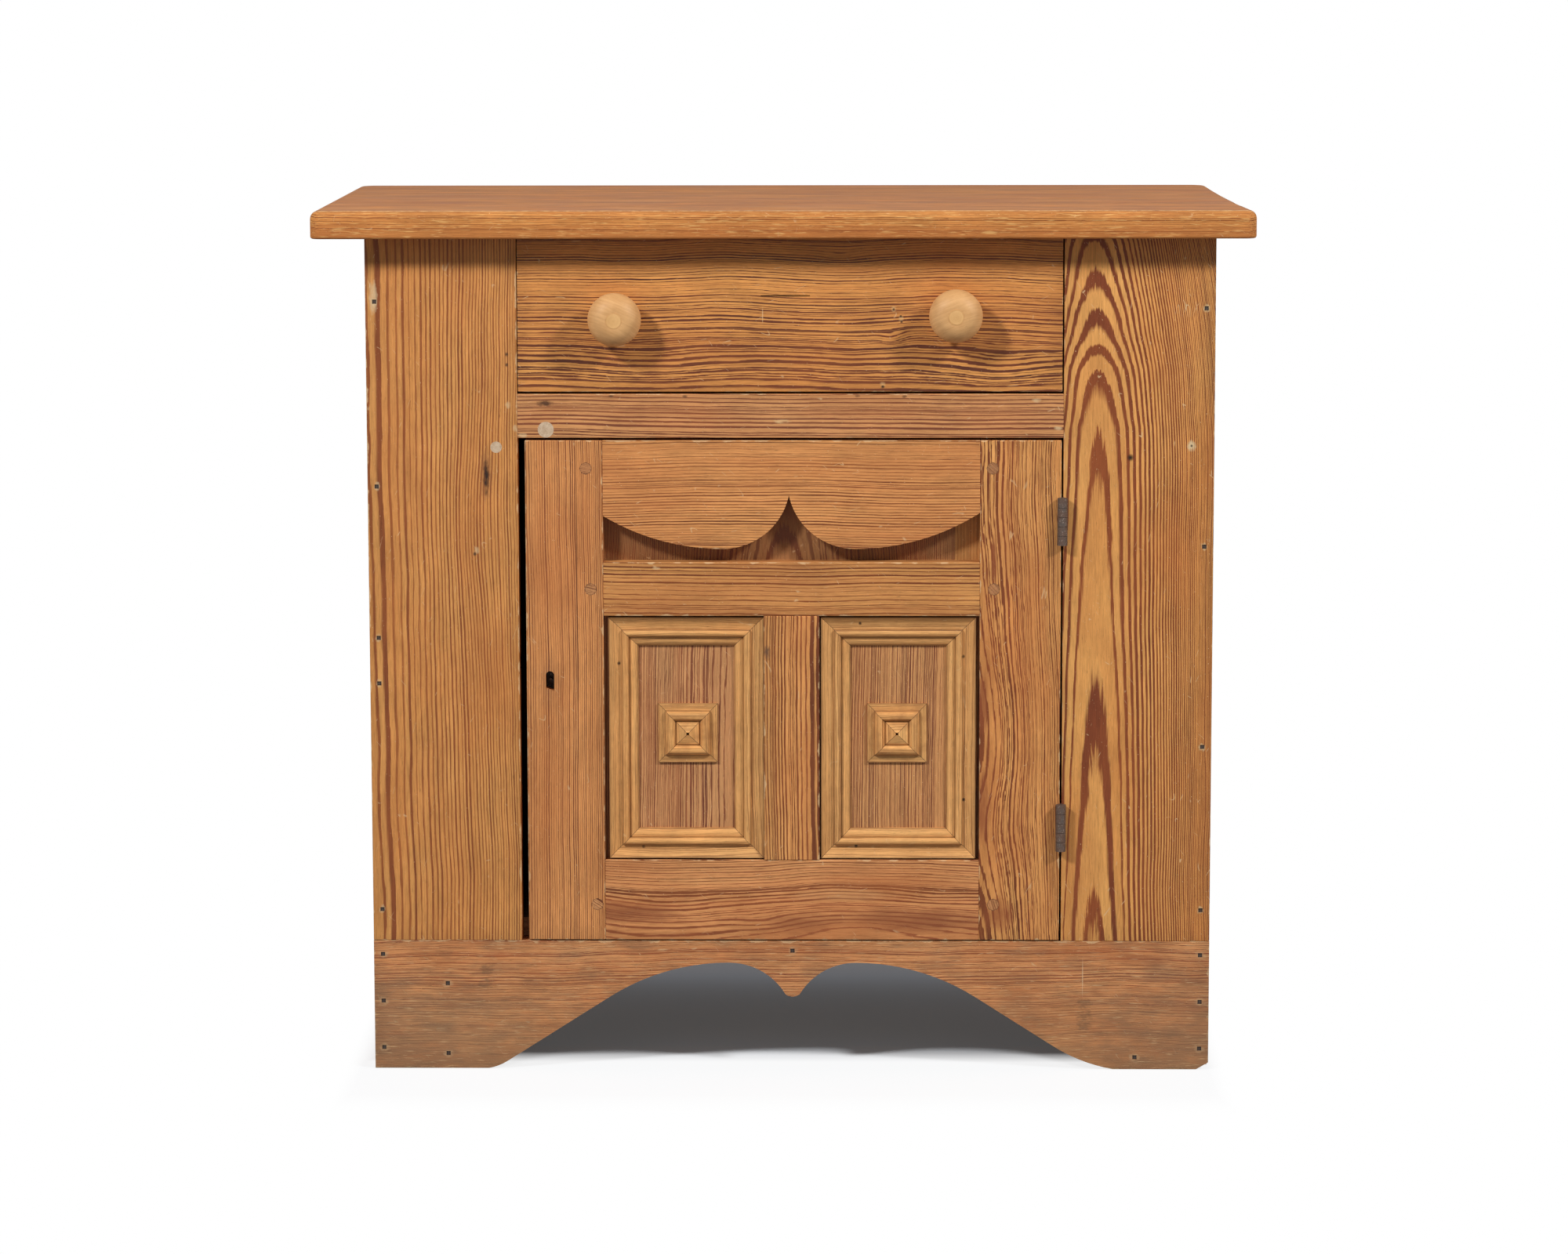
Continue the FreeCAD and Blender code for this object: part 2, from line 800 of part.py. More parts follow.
def top_rail():
    """Top rail with two lobes that meet in a cusp, thinned behind the lobes for the panel."""
    lobe_z = cusp_z - lobe_drop
    left_lobe = cusp_x - lobe_offset
    right_lobe = cusp_x + lobe_offset
    small_z = lobe_z + inner_lobe_radius
    big_z = lobe_z + outer_lobe_radius
    cusp_angle = math.degrees(math.atan2(cusp_z - small_z, lobe_offset))
    left_end = math.degrees(math.asin((left_lobe - lock_joint) / outer_lobe_radius))
    right_end = math.degrees(math.asin((hinge_joint - right_lobe) / outer_lobe_radius))
    left_start = on_circle((left_lobe, big_z), outer_lobe_radius, 270 - left_end)
    shape = outline(
        (lock_joint, door_top),
        [
            (left_start,),
            arc_step((left_lobe, big_z), outer_lobe_radius, 270 - left_end, 270),
            arc_step((left_lobe, small_z), inner_lobe_radius, 270, 360 + cusp_angle),
            arc_step((right_lobe, small_z), inner_lobe_radius, 180 - cusp_angle, 270),
            arc_step((right_lobe, big_z), outer_lobe_radius, 270, 270 + right_end),
            ((hinge_joint, door_top),),
        ],
        lambda x, z: V(x, door_face, z),
    )
    rail = shape.extrude(V(0, door_thickness, 0))
    rebate_z = (lobe_z, upper_panel_top + panel_end_play)
    rail = rail.cut(board((lock_joint, hinge_joint), (upper_panel_front, door_back), rebate_z))
    return rail.fuse(door_rail_tenons()["top_rail"])


def muntin_tenon():
    x = grown((muntin_left, muntin_right), -door_tenon_shoulder)
    return board(x, door_tenon, grown((bottom_rail_top, lock_rail_bottom), muntin_tenon_length))


def muntin():
    bar = board(
        (muntin_left, muntin_right),
        (door_face - muntin_proud, door_back),
        (bottom_rail_top, lock_rail_bottom),
        wood_arris,
    )
    return bar.fuse(muntin_tenon())


def panel_spans():
    """The (x, z) extent of each panel, with its edges in the grooves."""
    reach = groove_depth - panel_end_play
    lower_z = grown((bottom_rail_top, lock_rail_bottom), reach)
    upper_z = (lock_rail_top - reach, upper_panel_top)
    strip_x = hinge_joint - upper_strip_width
    return {
        "left_panel": (grown((lock_joint, muntin_left), reach), lower_z),
        "right_panel": (grown((muntin_right, hinge_joint), reach), lower_z),
        "upper_panel": ((lock_joint - reach, strip_x), upper_z),
        "upper_strip": ((strip_x, hinge_joint + reach), upper_z),
    }


def panel_depth(name):
    """The front and back of a panel. The upper boards stand in a rebate that is open behind."""
    front = upper_panel_front if name.startswith("upper") else panel_front
    return front, front + panel_thickness


def panel(name):
    x, z = panel_spans()[name]
    return board(x, panel_depth(name), z)


def panel_grooves():
    """The grooves and rebates that hold the panels, as one cutting shape."""
    cuts = []
    for name, (x, z) in panel_spans().items():
        y = grown(panel_depth(name), groove_play)
        cuts.append(board(grown(x, panel_end_play), y, grown(z, panel_end_play)))
    return Part.makeCompound(cuts)


def mitred_frame(x, z, width, start, steps):
    """Four lengths of one moulding round a rectangle, mitred at the corners, on the panel."""
    corners = [(x[0], z[0]), (x[1], z[0]), (x[1], z[1]), (x[0], z[1])]
    pieces_of_frame = []
    for index in range(4):
        a = V(corners[index][0], panel_front, corners[index][1])
        b = V(corners[(index + 1) % 4][0], panel_front, corners[(index + 1) % 4][1])
        along = (b - a).normalize()
        inward = V(-along.z, 0, along.x)
        section = outline(start, steps, lambda u, height: a + inward * u + V(0, -height, 0))
        length = section.extrude(b - a)
        plan = Part.makePolygon([a, b, b + (inward - along) * width, a + (inward + along) * width, a])
        mitre = Part.Face(plan).extrude(V(0, -door_thickness, 0))
        pieces_of_frame.append(length.common(mitre))
    return Part.makeCompound(pieces_of_frame)


def panel_moulding(x):
    """Panel moulding: a cove at the outside, then a bead, a quirk and a thumbnail."""
    steps = [tuple((u * moulding_width, v * moulding_height) for u, v in step) for step in moulding_profile]
    z = grown((bottom_rail_top, lock_rail_bottom), -moulding_end_gap)
    return mitred_frame(x, z, moulding_width, (0.0, 0.0), steps)


def rosette(light, shift):
    """Square boss of four mitred lengths: a flat border, a bevelled ridge, a groove and a pyramid."""
    half = (light[1] - light[0]) / 2 - moulding_width - rosette_margin
    width = half - rosette_hole / 2
    middle_x = (light[0] + light[1]) / 2 + shift
    middle_z = (bottom_rail_top + lock_rail_bottom) / 2 + rosette_drop
    steps = [tuple((u * half, v * rosette_height) for u, v in step) for step in rosette_profile]
    steps += [((width, rosette_height),), ((width, 0.0),)]
    x = grown((middle_x, middle_x), half)
    z = grown((middle_z, middle_z), half)
    return mitred_frame(x, z, width, (0.0, 0.0), steps)


def door_pegs():
    """Eight-sided pegs that pin the tenons, seen as small round ends on the stiles."""
    heights = (
        door_top - top_peg_drop,
        (lock_rail_bottom + lock_rail_top) / 2,
        (door_bottom + bottom_rail_top) / 2 - bottom_peg_drop,
    )
    pegs = []
    for row, z in enumerate(heights):
        for x in (lock_joint - lock_peg_insets[row], hinge_joint + hinge_peg_insets[row]):
            turns = [360 * corner / peg_sides for corner in range(peg_sides)]
            corners = [on_circle((x, z), peg_radius, turn) for turn in turns]
            steps = [(corner,) for corner in corners[1:]]
            end = outline(corners[0], steps, lambda cx, cz: V(cx, door_face, cz))
            pegs.append(end.extrude(V(0, peg_length, 0)))
    return Part.makeCompound(pegs)


# Hinges

def hinge_leaf(middle, toward, first_knuckle):
    """One leaf of a butt hinge; toward is +1 for the case's leaf and -1 for the door's."""
    low = middle - hinge_height / 2
    knuckle = (hinge_height - knuckle_gap * (knuckle_count - 1)) / knuckle_count
    x = span(pin_x + toward * leaf_gap / 2, toward * leaf_thickness)
    leaf = board(x, (leaf_front, leaf_back), span(low, hinge_height))
    for place in range(first_knuckle, knuckle_count, 2):
        z = low + place * (knuckle + knuckle_gap)
        barrel = Part.makeCylinder(barrel_radius, knuckle, V(pin_x, pin_y, z))
        leaf = leaf.fuse([barrel, board(x, (pin_y, leaf_front), span(z, knuckle))])
    bore = Part.makeCylinder(hinge_pin_radius + hinge_pin_clearance, hinge_height, V(pin_x, pin_y, low))
    return leaf.cut(bore).removeSplitter()


def hinge_pins():
    pins = []
    for middle in (upper_hinge_z, lower_hinge_z):
        low = middle - hinge_height / 2 - hinge_pin_end
        length = hinge_height + 2 * hinge_pin_end
        pins.append(Part.makeCylinder(hinge_pin_radius, length, V(pin_x, pin_y, low)))
    return Part.makeCompound(pins)


def leaf_screw_places(toward):
    """Heads of the three screws in each of the two leaves on one side."""
    middle_y = (leaf_front + leaf_back) / 2
    x = pin_x + toward * leaf_gap / 2
    places = []
    for middle in (upper_hinge_z, lower_hinge_z):
        for row in (-1, 0, 1):
            stagger = leaf_screw_stagger * (1 if row == 0 else -1)
            places.append(V(x, middle_y + stagger, middle + row * leaf_screw_spread))
    return places


# Lock

def keyhole(y):
    """Keyhole with a round top and a torn, slanting bottom, through the given thickness."""
    half = keyhole_width / 2
    low = keyhole_z - keyhole_height / 2
    spring = keyhole_z + keyhole_height / 2 - half
    shape = outline(
        (keyhole_x - half, low + keyhole_torn),
        [
            ((keyhole_x - half, spring),),
            ((keyhole_x, spring + half), (keyhole_x + half, spring)),
            ((keyhole_x + half, low),),
        ],
        lambda x, z: V(x, y[0], z),
    )
    return shape.extrude(V(0, y[1] - y[0], 0))


def lock_bolt_span():
    y = (lock_front + lock_plate + bolt_play, door_back - lock_plate - bolt_play)
    return (door_left, door_left + bolt_length), y, grown((bolt_z, bolt_z), bolt_height / 2)


def lock_shell():
    """Outside of the lock as it is let into the back of the stile."""
    x = (door_left, door_left + lock_width)
    body = board(x, (lock_front, door_back), (lock_low, lock_high))
    cap = board(x, (door_back - lock_plate, door_back), grown((lock_low, lock_high), lock_flange))
    return body.fuse(cap).removeSplitter()


def lock_case():
    """Folded iron case with a slot for the bolt, a keyhole and the post that the key turns on."""
    inside_x = grown((door_left, door_left + lock_width), -lock_plate)
    inside_y = grown((lock_front, door_back), -lock_plate)
    hollow = board(inside_x, inside_y, grown((lock_low, lock_high), -lock_plate))
    bolt_x, bolt_y, bolt_zs = lock_bolt_span()
    slot = board((door_left, inside_x[0]), grown(bolt_y, bolt_play), grown(bolt_zs, bolt_play))
    shell = lock_shell().cut([hollow, slot, keyhole((lock_front, inside_y[0]))])
    post = Part.makeCylinder(
        lock_post_radius, inside_y[1] - inside_y[0], V(keyhole_x, inside_y[0], keyhole_z), V(0, 1, 0)
    )
    return shell.fuse(post).removeSplitter()


def lock_screw_places():
    xs = (door_left + lock_screw_inset, door_left + lock_width - lock_screw_inset)
    zs = (lock_low - lock_flange / 2, lock_high + lock_flange / 2)
    return [V(x, door_back, z) for x in xs for z in zs]


# Assembly: each piece, then the joints between pieces, then the fasteners

pieces = {
    "top_board": top_board(),
    "left_side": side_board(case_left, 1),
    "right_side": side_board(case_right, -1),
    "left_stile": left_stile(),
    "right_stile": right_stile(),
    "drawer_rail": drawer_rail(),
    "base_apron": base_apron(),
    "bottom_board": bottom_board(),
    "left_bottom_cleat": bottom_cleat(inner_left, 1),
    "right_bottom_cleat": bottom_cleat(inner_right, -1),
    "front_bottom_cleat": front_bottom_cleat(),
    "foot_blocks": foot_blocks(),
    "left_top_cleat": top_cleat(inner_left, 1),
    "right_top_cleat": top_cleat(inner_right, -1),
    "left_runner": runner(drawer_left, 1),
    "right_runner": runner(drawer_right, -1),
    "left_guide": guide(drawer_left, 1),
    "right_guide": guide(drawer_right, -1),
    "runner_bearer": runner_bearer(),
    "filler_plugs": filler_plugs(),
    "drawer_front": drawer_front(),
    "drawer_left_side": drawer_side(drawer_left, 1),
    "drawer_right_side": drawer_side(drawer_right, -1),
    "drawer_back": drawer_back(),
    "drawer_bottom": drawer_bottom(),
    "left_knob": knob(left_knob_place),
    "right_knob": knob(right_knob_place),
    "knob_plugs": knob_plugs(),
    "lock_stile": door_stile((door_left, lock_joint)),
    "hinge_stile": door_stile((hinge_joint, door_right)),
    "top_rail": top_rail(),
    "lock_rail": lock_rail(),
    "bottom_rail": bottom_rail(),
    "muntin": muntin(),
    "left_moulding": panel_moulding(
        (lock_joint + left_moulding_gaps[0], muntin_left - left_moulding_gaps[1])
    ),
    "right_moulding": panel_moulding(
        (muntin_right + right_moulding_gaps[0], hinge_joint - right_moulding_gaps[1])
    ),
    "left_rosette": rosette((lock_joint, muntin_left), left_rosette_shift),
    "right_rosette": rosette((muntin_right, hinge_joint), right_rosette_shift),
    "door_pegs": door_pegs(),
    "upper_case_leaf": hinge_leaf(upper_hinge_z, 1, 0),
    "lower_case_leaf": hinge_leaf(lower_hinge_z, 1, 0),
    "upper_door_leaf": hinge_leaf(upper_hinge_z, -1, 1),
    "lower_door_leaf": hinge_leaf(lower_hinge_z, -1, 1),
    "hinge_pins": hinge_pins(),
    "lock_case": lock_case(),
    "lock_bolt": board(*lock_bolt_span()),
}

for place, back in enumerate(back_boards()):
    pieces["back_board_%d" % (place + 1)] = back

for panel_name in panel_spans():
    pieces[panel_name] = panel(panel_name)


def let_in(cutter, *names):
    """Cut the shape of a tenon, leaf, fastener or filler out of the pieces that take it."""
    for name in names:
        pieces[name] = pieces[name].cut(cutter)


let_in(runner_tongue(drawer_left, 1), "drawer_rail")
let_in(runner_tongue(drawer_right, -1), "drawer_rail")
let_in(drawer_rail_tenon(), "left_stile", "right_stile")
let_in(bolt_pocket(), "left_stile")
let_in(pieces["filler_plugs"], "drawer_rail", "left_stile")

drawer_sides = ("drawer_left_side", "drawer_right_side")
let_in(pieces["drawer_back"], *drawer_sides)
let_in(pieces["drawer_bottom"], *drawer_sides)
let_in(pieces["drawer_bottom"], "drawer_front")
let_in(dovetails(drawer_left, 1) + dovetails(drawer_right, -1), "drawer_front")

door_stiles = ("lock_stile", "hinge_stile")
let_in(panel_grooves(), "lock_rail", "bottom_rail", "muntin", *door_stiles)
let_in(muntin_tenon(), "lock_rail", "bottom_rail")
let_in(list(door_rail_tenons().values()), *door_stiles)
let_in(pieces["door_pegs"], "top_rail", "lock_rail", "bottom_rail", *door_stiles)
let_in(lock_shell(), "lock_stile")
let_in(keyhole((door_face, lock_front)), "lock_stile")
for leaf_name in ("upper_door_leaf", "lower_door_leaf"):
    let_in(pieces[leaf_name], "hinge_stile")
for leaf_name in ("upper_case_leaf", "lower_case_leaf"):
    let_in(pieces[leaf_name], "right_stile")


def add_screws(name, places, direction, head_radius, radius, length, *through):
    """Drive one group of screws through the pieces that they hold."""
    screws = []
    for place in places:
        screw = countersunk_screw(place, direction, head_radius, radius, length)
        let_in(screw, *through)
        screws.append(slotted(screw, place, direction, head_radius))
    pieces[name] = Part.makeCompound(screws)


leaf_screw = (leaf_screw_head_radius, leaf_screw_radius, leaf_screw_length)
lock_screw = (lock_screw_head_radius, lock_screw_radius, lock_screw_length)
knob_screw = (knob_screw_head_radius, knob_screw_radius, knob_screw_length)
cleat_screw = (cleat_screw_head_radius, cleat_screw_radius, cleat_screw_length)
case_leaves = ("upper_case_leaf", "lower_case_leaf")
door_leaves = ("upper_door_leaf", "lower_door_leaf")
cleats = ("left_top_cleat", "right_top_cleat")
knobs = ("left_knob", "right_knob")
add_screws("case_hinge_screws", leaf_screw_places(1), V(1, 0, 0), *leaf_screw, "right_stile", *case_leaves)
add_screws("door_hinge_screws", leaf_screw_places(-1), V(-1, 0, 0), *leaf_screw, "hinge_stile", *door_leaves)
add_screws("lock_screws", lock_screw_places(), V(0, -1, 0), *lock_screw, "lock_stile", "lock_case")
add_screws("knob_screws", knob_screw_places(), V(0, 1, 0), *knob_screw, "drawer_front", *knobs)
add_screws("cleat_screws", cleat_screw_places(), V(0, 0, 1), *cleat_screw, "top_board", *cleats)

nailed = [
    "left_side", "right_side", "left_stile", "right_stile", "base_apron", "foot_blocks",
    "front_bottom_cleat", "bottom_board", "runner_bearer",
]
nailed += ["back_board_%d" % (place + 1) for place in range(back_board_count)]
nails = []
holes = []
for x, y, z, into, length in nail_places():
    nails.append(cut_nail(x, y, z, into, length, nail_sunk))
    holes.append(nail_hole(x, y, z, into))
let_in(Part.makeCompound(nails), *nailed)
let_in(Part.makeCompound(holes), *nailed)
pieces["case_nails"] = Part.makeCompound(nails)

os.makedirs("parts", exist_ok=True)
for name, shape in pieces.items():
    shape.exportStep("parts/%s.step" % name)
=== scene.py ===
import math

import bpy
from mathutils import Euler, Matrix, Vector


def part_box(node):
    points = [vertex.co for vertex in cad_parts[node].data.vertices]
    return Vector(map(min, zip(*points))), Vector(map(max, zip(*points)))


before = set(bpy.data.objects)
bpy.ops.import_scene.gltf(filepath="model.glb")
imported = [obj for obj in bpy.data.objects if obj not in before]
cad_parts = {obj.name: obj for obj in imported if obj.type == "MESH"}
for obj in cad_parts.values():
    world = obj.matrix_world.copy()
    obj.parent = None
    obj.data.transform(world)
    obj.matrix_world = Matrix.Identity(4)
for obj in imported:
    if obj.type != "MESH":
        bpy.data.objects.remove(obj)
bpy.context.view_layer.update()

# ------------------------------------------------------------------ Side boards
# Each side of the cupboard is one wide plank of heart pine with an arch cut in its foot.
# The grain stands upright; the front edge is hidden behind the stile that is nailed to it.
mm_per_metre = 1000.0


class Wire:
    """One socket of a finish. Sums, differences, products and quotients of it lay their own nodes."""

    def __init__(self, tree, socket=None):
        self.tree = tree
        self.socket = socket

    def node(self, kind, settings=None, sockets=None, out=0):
        """Any other node: its type, its settings, and the values or wires of its sockets."""
        made = self.tree.nodes.new(kind)
        for name, value in (settings or {}).items():
            if name == "stops":
                band = made.color_ramp
                band.interpolation = "CARDINAL"
                while len(band.elements) < len(value):
                    band.elements.new(0.5)
                for stop, (at, shade) in zip(band.elements, value):
                    stop.position = at
                    stop.color = (shade, shade, shade, 1.0)
            else:
                setattr(made, name, value)
        for name, value in (sockets or {}).items():
            if isinstance(value, Wire):
                self.tree.links.new(value.socket, made.inputs[name])
            else:
                made.inputs[name].default_value = value
        return Wire(self.tree, made.outputs[out])

    def math(self, operation, other=0.0):
        return self.node("ShaderNodeMath", {"operation": operation}, {0: self, 1: other})

    def under(self, operation, first):
        """The same sum with this value in the second place."""
        return self.node("ShaderNodeMath", {"operation": operation}, {0: first, 1: self})

    def __add__(self, other):
        return self.math("ADD", other)

    def __radd__(self, other):
        return self.under("ADD", other)

    def __sub__(self, other):
        return self.math("SUBTRACT", other)

    def __rsub__(self, other):
        return self.under("SUBTRACT", other)

    def __mul__(self, other):
        return self.math("MULTIPLY", other)

    def __rmul__(self, other):
        return self.under("MULTIPLY", other)

    def __truediv__(self, other):
        return self.math("DIVIDE", other)

    def __abs__(self):
        return self.math("ABSOLUTE")

    def least(self, other):
        return self.math("MINIMUM", other)

    def most(self, other):
        return self.math("MAXIMUM", other)

    def held(self):
        """The value kept between 0 and 1."""
        return self.node("ShaderNodeClamp", None, {"Value": self})

    def vector(self, operation, other):
        return self.node("ShaderNodeVectorMath", {"operation": operation}, {0: self, 1: other})

    def between(self, none, full):
        """A colour that goes from none to full as this value goes from 0 to 1."""
        return self.node("ShaderNodeMix", {"data_type": "RGBA"}, {0: self, 6: none, 7: full}, 2)

    def shaded(self, amount):
        """This colour made lighter or darker by a number."""
        grey = self.node("ShaderNodeCombineXYZ", None, {0: amount, 1: amount, 2: amount})
        return self.vector("MULTIPLY", grey)

    def parts(self):
        split = self.node("ShaderNodeSeparateXYZ", None, {0: self}).socket.node
        return [Wire(self.tree, way) for way in split.outputs]


def cloud(at, size, detail=1.0, seed=0.0):
    """Soft blotches of a size in mm each way of a board, from about -0.4 to 0.4."""
    spread = at.vector("DIVIDE", size).vector("ADD", (seed, seed * 1.7, seed * 0.3))
    sockets = {"Vector": spread, "Scale": 1.0, "Detail": detail}
    return spread.node("ShaderNodeTexNoise", None, sockets, "Fac") - 0.5


def apart(across, along, middle, reach):
    """How far a place lies from the middle of a spot, in reaches of the spot, squared."""
    wide = (across - middle[0]) / reach[0]
    high = (along - middle[1]) / reach[1]
    return wide * wide + high * high


def smudge(across, along, middle, reach, ragged=0.0):
    """A round-edged stain, 1 in the middle and 0 beyond its reach."""
    return (1.0 - apart(across, along, middle, reach) + ragged).held()


def patches(at, spots, reach, seed, ragged=1.6):
    """Ragged patches of one size round several (across, along) places."""
    across, along = at.parts()[:2]
    torn = ragged * cloud(at, (2.5, 5.0, 2.5), 2.0, seed)
    every = smudge(across, along, spots[0], reach, torn)
    for spot in spots[1:]:
        every = every.most(smudge(across, along, spot, reach, torn))
    return every


def graded(wire, ends):
    """A value that runs evenly between two places of a board: ((place, value), (place, value))."""
    (first, start), (last, stop) = ends
    return wire.node("ShaderNodeMapRange", None, {0: wire, 1: first, 2: last, 3: start, 4: stop})


def board_place(place, axes, face):
    """Across, along and inward from the show face, for a board cut square to the cupboard."""
    xyz = dict(zip("xyz", place.parts()))
    return xyz[axes[0]], xyz[axes[1]], abs(xyz[axes[2]] - face)


def fresh_finish(name):
    """A new finish, and the place on the piece in mm."""
    finish = bpy.data.materials.new(name)
    finish.use_nodes = True
    metres = Wire(finish.node_tree).node("ShaderNodeTexCoord", out="Object")
    return finish, metres.vector("MULTIPLY", (mm_per_metre, mm_per_metre, mm_per_metre))


def lay_finish(finish, looks, height, fall, relief, shine=0.5):
    """Joins the colour, the gloss and the relief of a finish to its shader; fall is in metres."""
    sockets = {"Height": height, "Distance": fall, "Strength": relief}
    looks["Normal"] = height.node("ShaderNodeBump", None, sockets, "Normal")
    shader = finish.node_tree.nodes["Principled BSDF"]
    shader.inputs["Specular IOR Level"].default_value = shine
    for socket, wire in looks.items():
        finish.node_tree.links.new(wire.socket, shader.inputs[socket])


def dress(node, finish):
    """Gives a piece of the cupboard its finish."""
    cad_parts[node].material_slots[0].material = finish


# Sizes in the wood, in mm across, along and inward.
slow_bend = (380.0, 240.0, 380.0)
close_bend = (55.0, 75.0, 55.0)
ring_tremble = (1.6, 30.0, 1.6)
ring_fading = (26.0, 120.0, 26.0)
fibre_size = (0.55, 11.0, 0.55)
streak_size = (1.6, 42.0, 1.6)
patch_size = (60.0, 170.0, 60.0)
shade_size = (24.0, 60.0, 24.0)
stain_size = (34.0, 110.0, 34.0)
dash_size = (0.55, 7.0, 0.55)
wear_size = (9.0, 15.0, 9.0)
scrape_break = (9.0, 13.0, 9.0)
fleck_size = (1.0, 1.7, 1.0)
scrape_gap = 15.0
scrape_ways = ((0.85, 90.0), (-0.35, 120.0))
# How far from a board's edge its dirt and painted shade reach.
soil_and_shade_reach = 16.0


def heart_pine(
    node,
    axes,
    face,
    heart,
    depth,
    growth,
    name=None,
    closing=1.0e9,
    rise=None,
    lean=0.0,
    wander=5.0,
    ripple=0.16,
    uneven=0.35,
    share=0.55,
    bold=0.95,
    early=(0.66, 0.262, 0.066, 1.0),
    gold=(0.74, 0.350, 0.105, 1.0),
    late=(0.270, 0.078, 0.022, 1.0),
    dark=(0.160, 0.044, 0.016, 1.0),
    pale=(0.82, 0.540, 0.280, 1.0),
    red=(0.45, 0.130, 0.038, 1.0),
    redness=0.28,
    edge_wear=1.0,
    scuffs=1.0,
    swirls=(),
    marks=None,
    lay=None,
    roughness=0.54,
    relief=0.5,
    shine=0.22,
    seed=0.0,
):
    """A board of old oiled heart pine.

    The rings run round a heart that lies depth behind the show face, at heart across it. The
    axes name the ways across, along and through the board; growth is the area between rings.
    """
    finish, place = fresh_finish(name or node + "_pine")
    across, along, inside = lay(place) if lay else board_place(place, axes, face)
    at = across.node("ShaderNodeCombineXYZ", None, {0: across, 1: along, 2: inside})

    # Which ring a place lies in: the trunk bends slowly, each ring trembles and no two are alike.
    bent = across + 2.0 * wander * cloud(at, slow_bend, 1.0, seed)
    bent = bent + 0.5 * wander * cloud(at, close_bend, 1.0, seed + 3.1)
    off = bent - heart
    inward = depth - inside
    area = off * off + inward * inward - depth * depth
    count = area / growth * (1.0 + area / closing) + along * lean
    if rise:
        low, high = rise[0][0], rise[-1][0]
        most = max(number for spot, number in rise)
        least = min(number for spot, number in rise)
        span = most - least
        stops = [((spot - low) / (high - low), (number - least) / span) for spot, number in rise]
        climb = along.node("ShaderNodeValToRGB", {"stops": stops}, {0: (along - low) / (high - low)})
        count = count + climb * span + least
    for middle, reach, lift in swirls:
        count = count + lift * (0.0 - apart(across, along, middle, reach)).math("EXPONENT")
    count = count + 2.0 * ripple * cloud(at, ring_tremble, 4.0, seed + 5.3)
    line = {"noise_dimensions": "1D"}
    thick = count.node("ShaderNodeTexNoise", line, {"W": count * 0.4, "Detail": 0.0}, "Fac")
    count = count + uneven * (thick - 0.5) * 2.0

    # Each ring darkens from pale early wood to late wood and ends sharply.
    ring = count.math("FLOOR")
    part = count - ring
    luck = ring.node("ShaderNodeTexWhiteNoise", line, {"W": ring + seed}, "Value")
    width = (graded(across, share) if isinstance(share, tuple) else share) * (0.75 + 0.5 * luck)
    band = ((part - 1.0) / width * 2.6 + 2.6).held()
    band = band * band * (3.0 - 2.0 * band) * ((1.0 - part) * 14.0).held()
    strong = (graded(across, bold) if isinstance(bold, tuple) else bold) * (0.84 + 0.36 * luck)
    band = (band * (strong + 0.5 * cloud(at, ring_fading, 1.0, seed + 8.8))).held()

    # Fibres and streaks along the grain, redder patches, and short dark resin dashes.
    fibre = cloud(at, fibre_size, 3.0, seed + 1.9)
    patch = cloud(at, patch_size, 2.0, seed + 2.7)
    ground = (0.5 + 1.6 * patch + 0.5 * (luck - 0.5)).held().between(early, gold)
    deep = (0.5 + 1.8 * patch + 0.8 * (luck - 0.5)).held().between(late, dark)
    streak = cloud(at, streak_size, 2.0, seed + 13.7)
    tone = 1.0 + 0.75 * fibre + 0.50 * streak + 0.55 * cloud(at, shade_size, 3.0, seed)
    colour = band.between(ground, deep).shaded(tone)
    stain = (0.3 + 3.2 * cloud(at, stain_size, 3.0, seed + 12.3)).held()
    colour = (stain * redness).between(colour, red)
    dash = ((cloud(at, dash_size, 1.0, seed + 4.4) - 0.19) * 12.0).held()
    colour = colour.shaded(1.0 - 0.36 * dash)

    # Arrises rubbed pale, and the wood darkened near its edges, partly by dirt and partly by painted
    # shade in the creases between parts.
    gaps = []
    for value, low, high in zip(place.parts(), *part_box(node)):
        gaps.append((value - low * mm_per_metre).least(high * mm_per_metre - value))
    arris = gaps[0].least(gaps[1]).most(gaps[0].most(gaps[1]).least(gaps[2]))
    rub = edge_wear * (0.35 + 6.0 * cloud(at, wear_size, 4.0, seed + 6.6))
    rub = ((rub - arris) * 1.4).held()
    # Painted shade and dirt: darker within a reach of the board's edges.
    soil_and_shade = (1.0 - arris / soil_and_shade_reach).held()
    colour = colour.shaded(1.0 - 0.14 * soil_and_shade)
    colour = (rub * 0.70).between(colour, pale)

    # Hair-thin scrapes that slant two ways, and pale flecks.
    scrape = None
    for slope, length in scrape_ways:
        slant = across + slope * along
        course = along - slope * across
        nick = at.node("ShaderNodeCombineXYZ", None, {0: slant, 1: course, 2: inside})
        thread = cloud(nick, (scrape_gap, length, scrape_gap), 0.0, seed + 7.7 + length)
        short = ((cloud(at, scrape_break, 1.0, seed + 9.1 + length) - 0.13) * 16.0).held()
        hair = (1.0 - abs(thread) * 110.0).held() * short
        scrape = scrape.most(hair) if scrape else hair
    fleck = ((cloud(at, fleck_size, 0.0, seed + 9.9) - 0.29) * 16.0).held()
    colour = (scrape.most(fleck) * (0.62 * scuffs)).held().between(colour, pale)
    if marks:
        for mask, tint in marks(place, at):
            colour = mask.between(colour, tint)

    height = 0.18 * band + 0.10 * fibre - 0.12 * dash - 0.12 * scrape - 0.25 * rub
    sheen = roughness + 0.25 * fibre - 0.08 * band + 0.12 * rub
    lay_finish(finish, {"Base Color": colour, "Roughness": sheen}, height, 0.001, relief, shine)
    dress(node, finish)


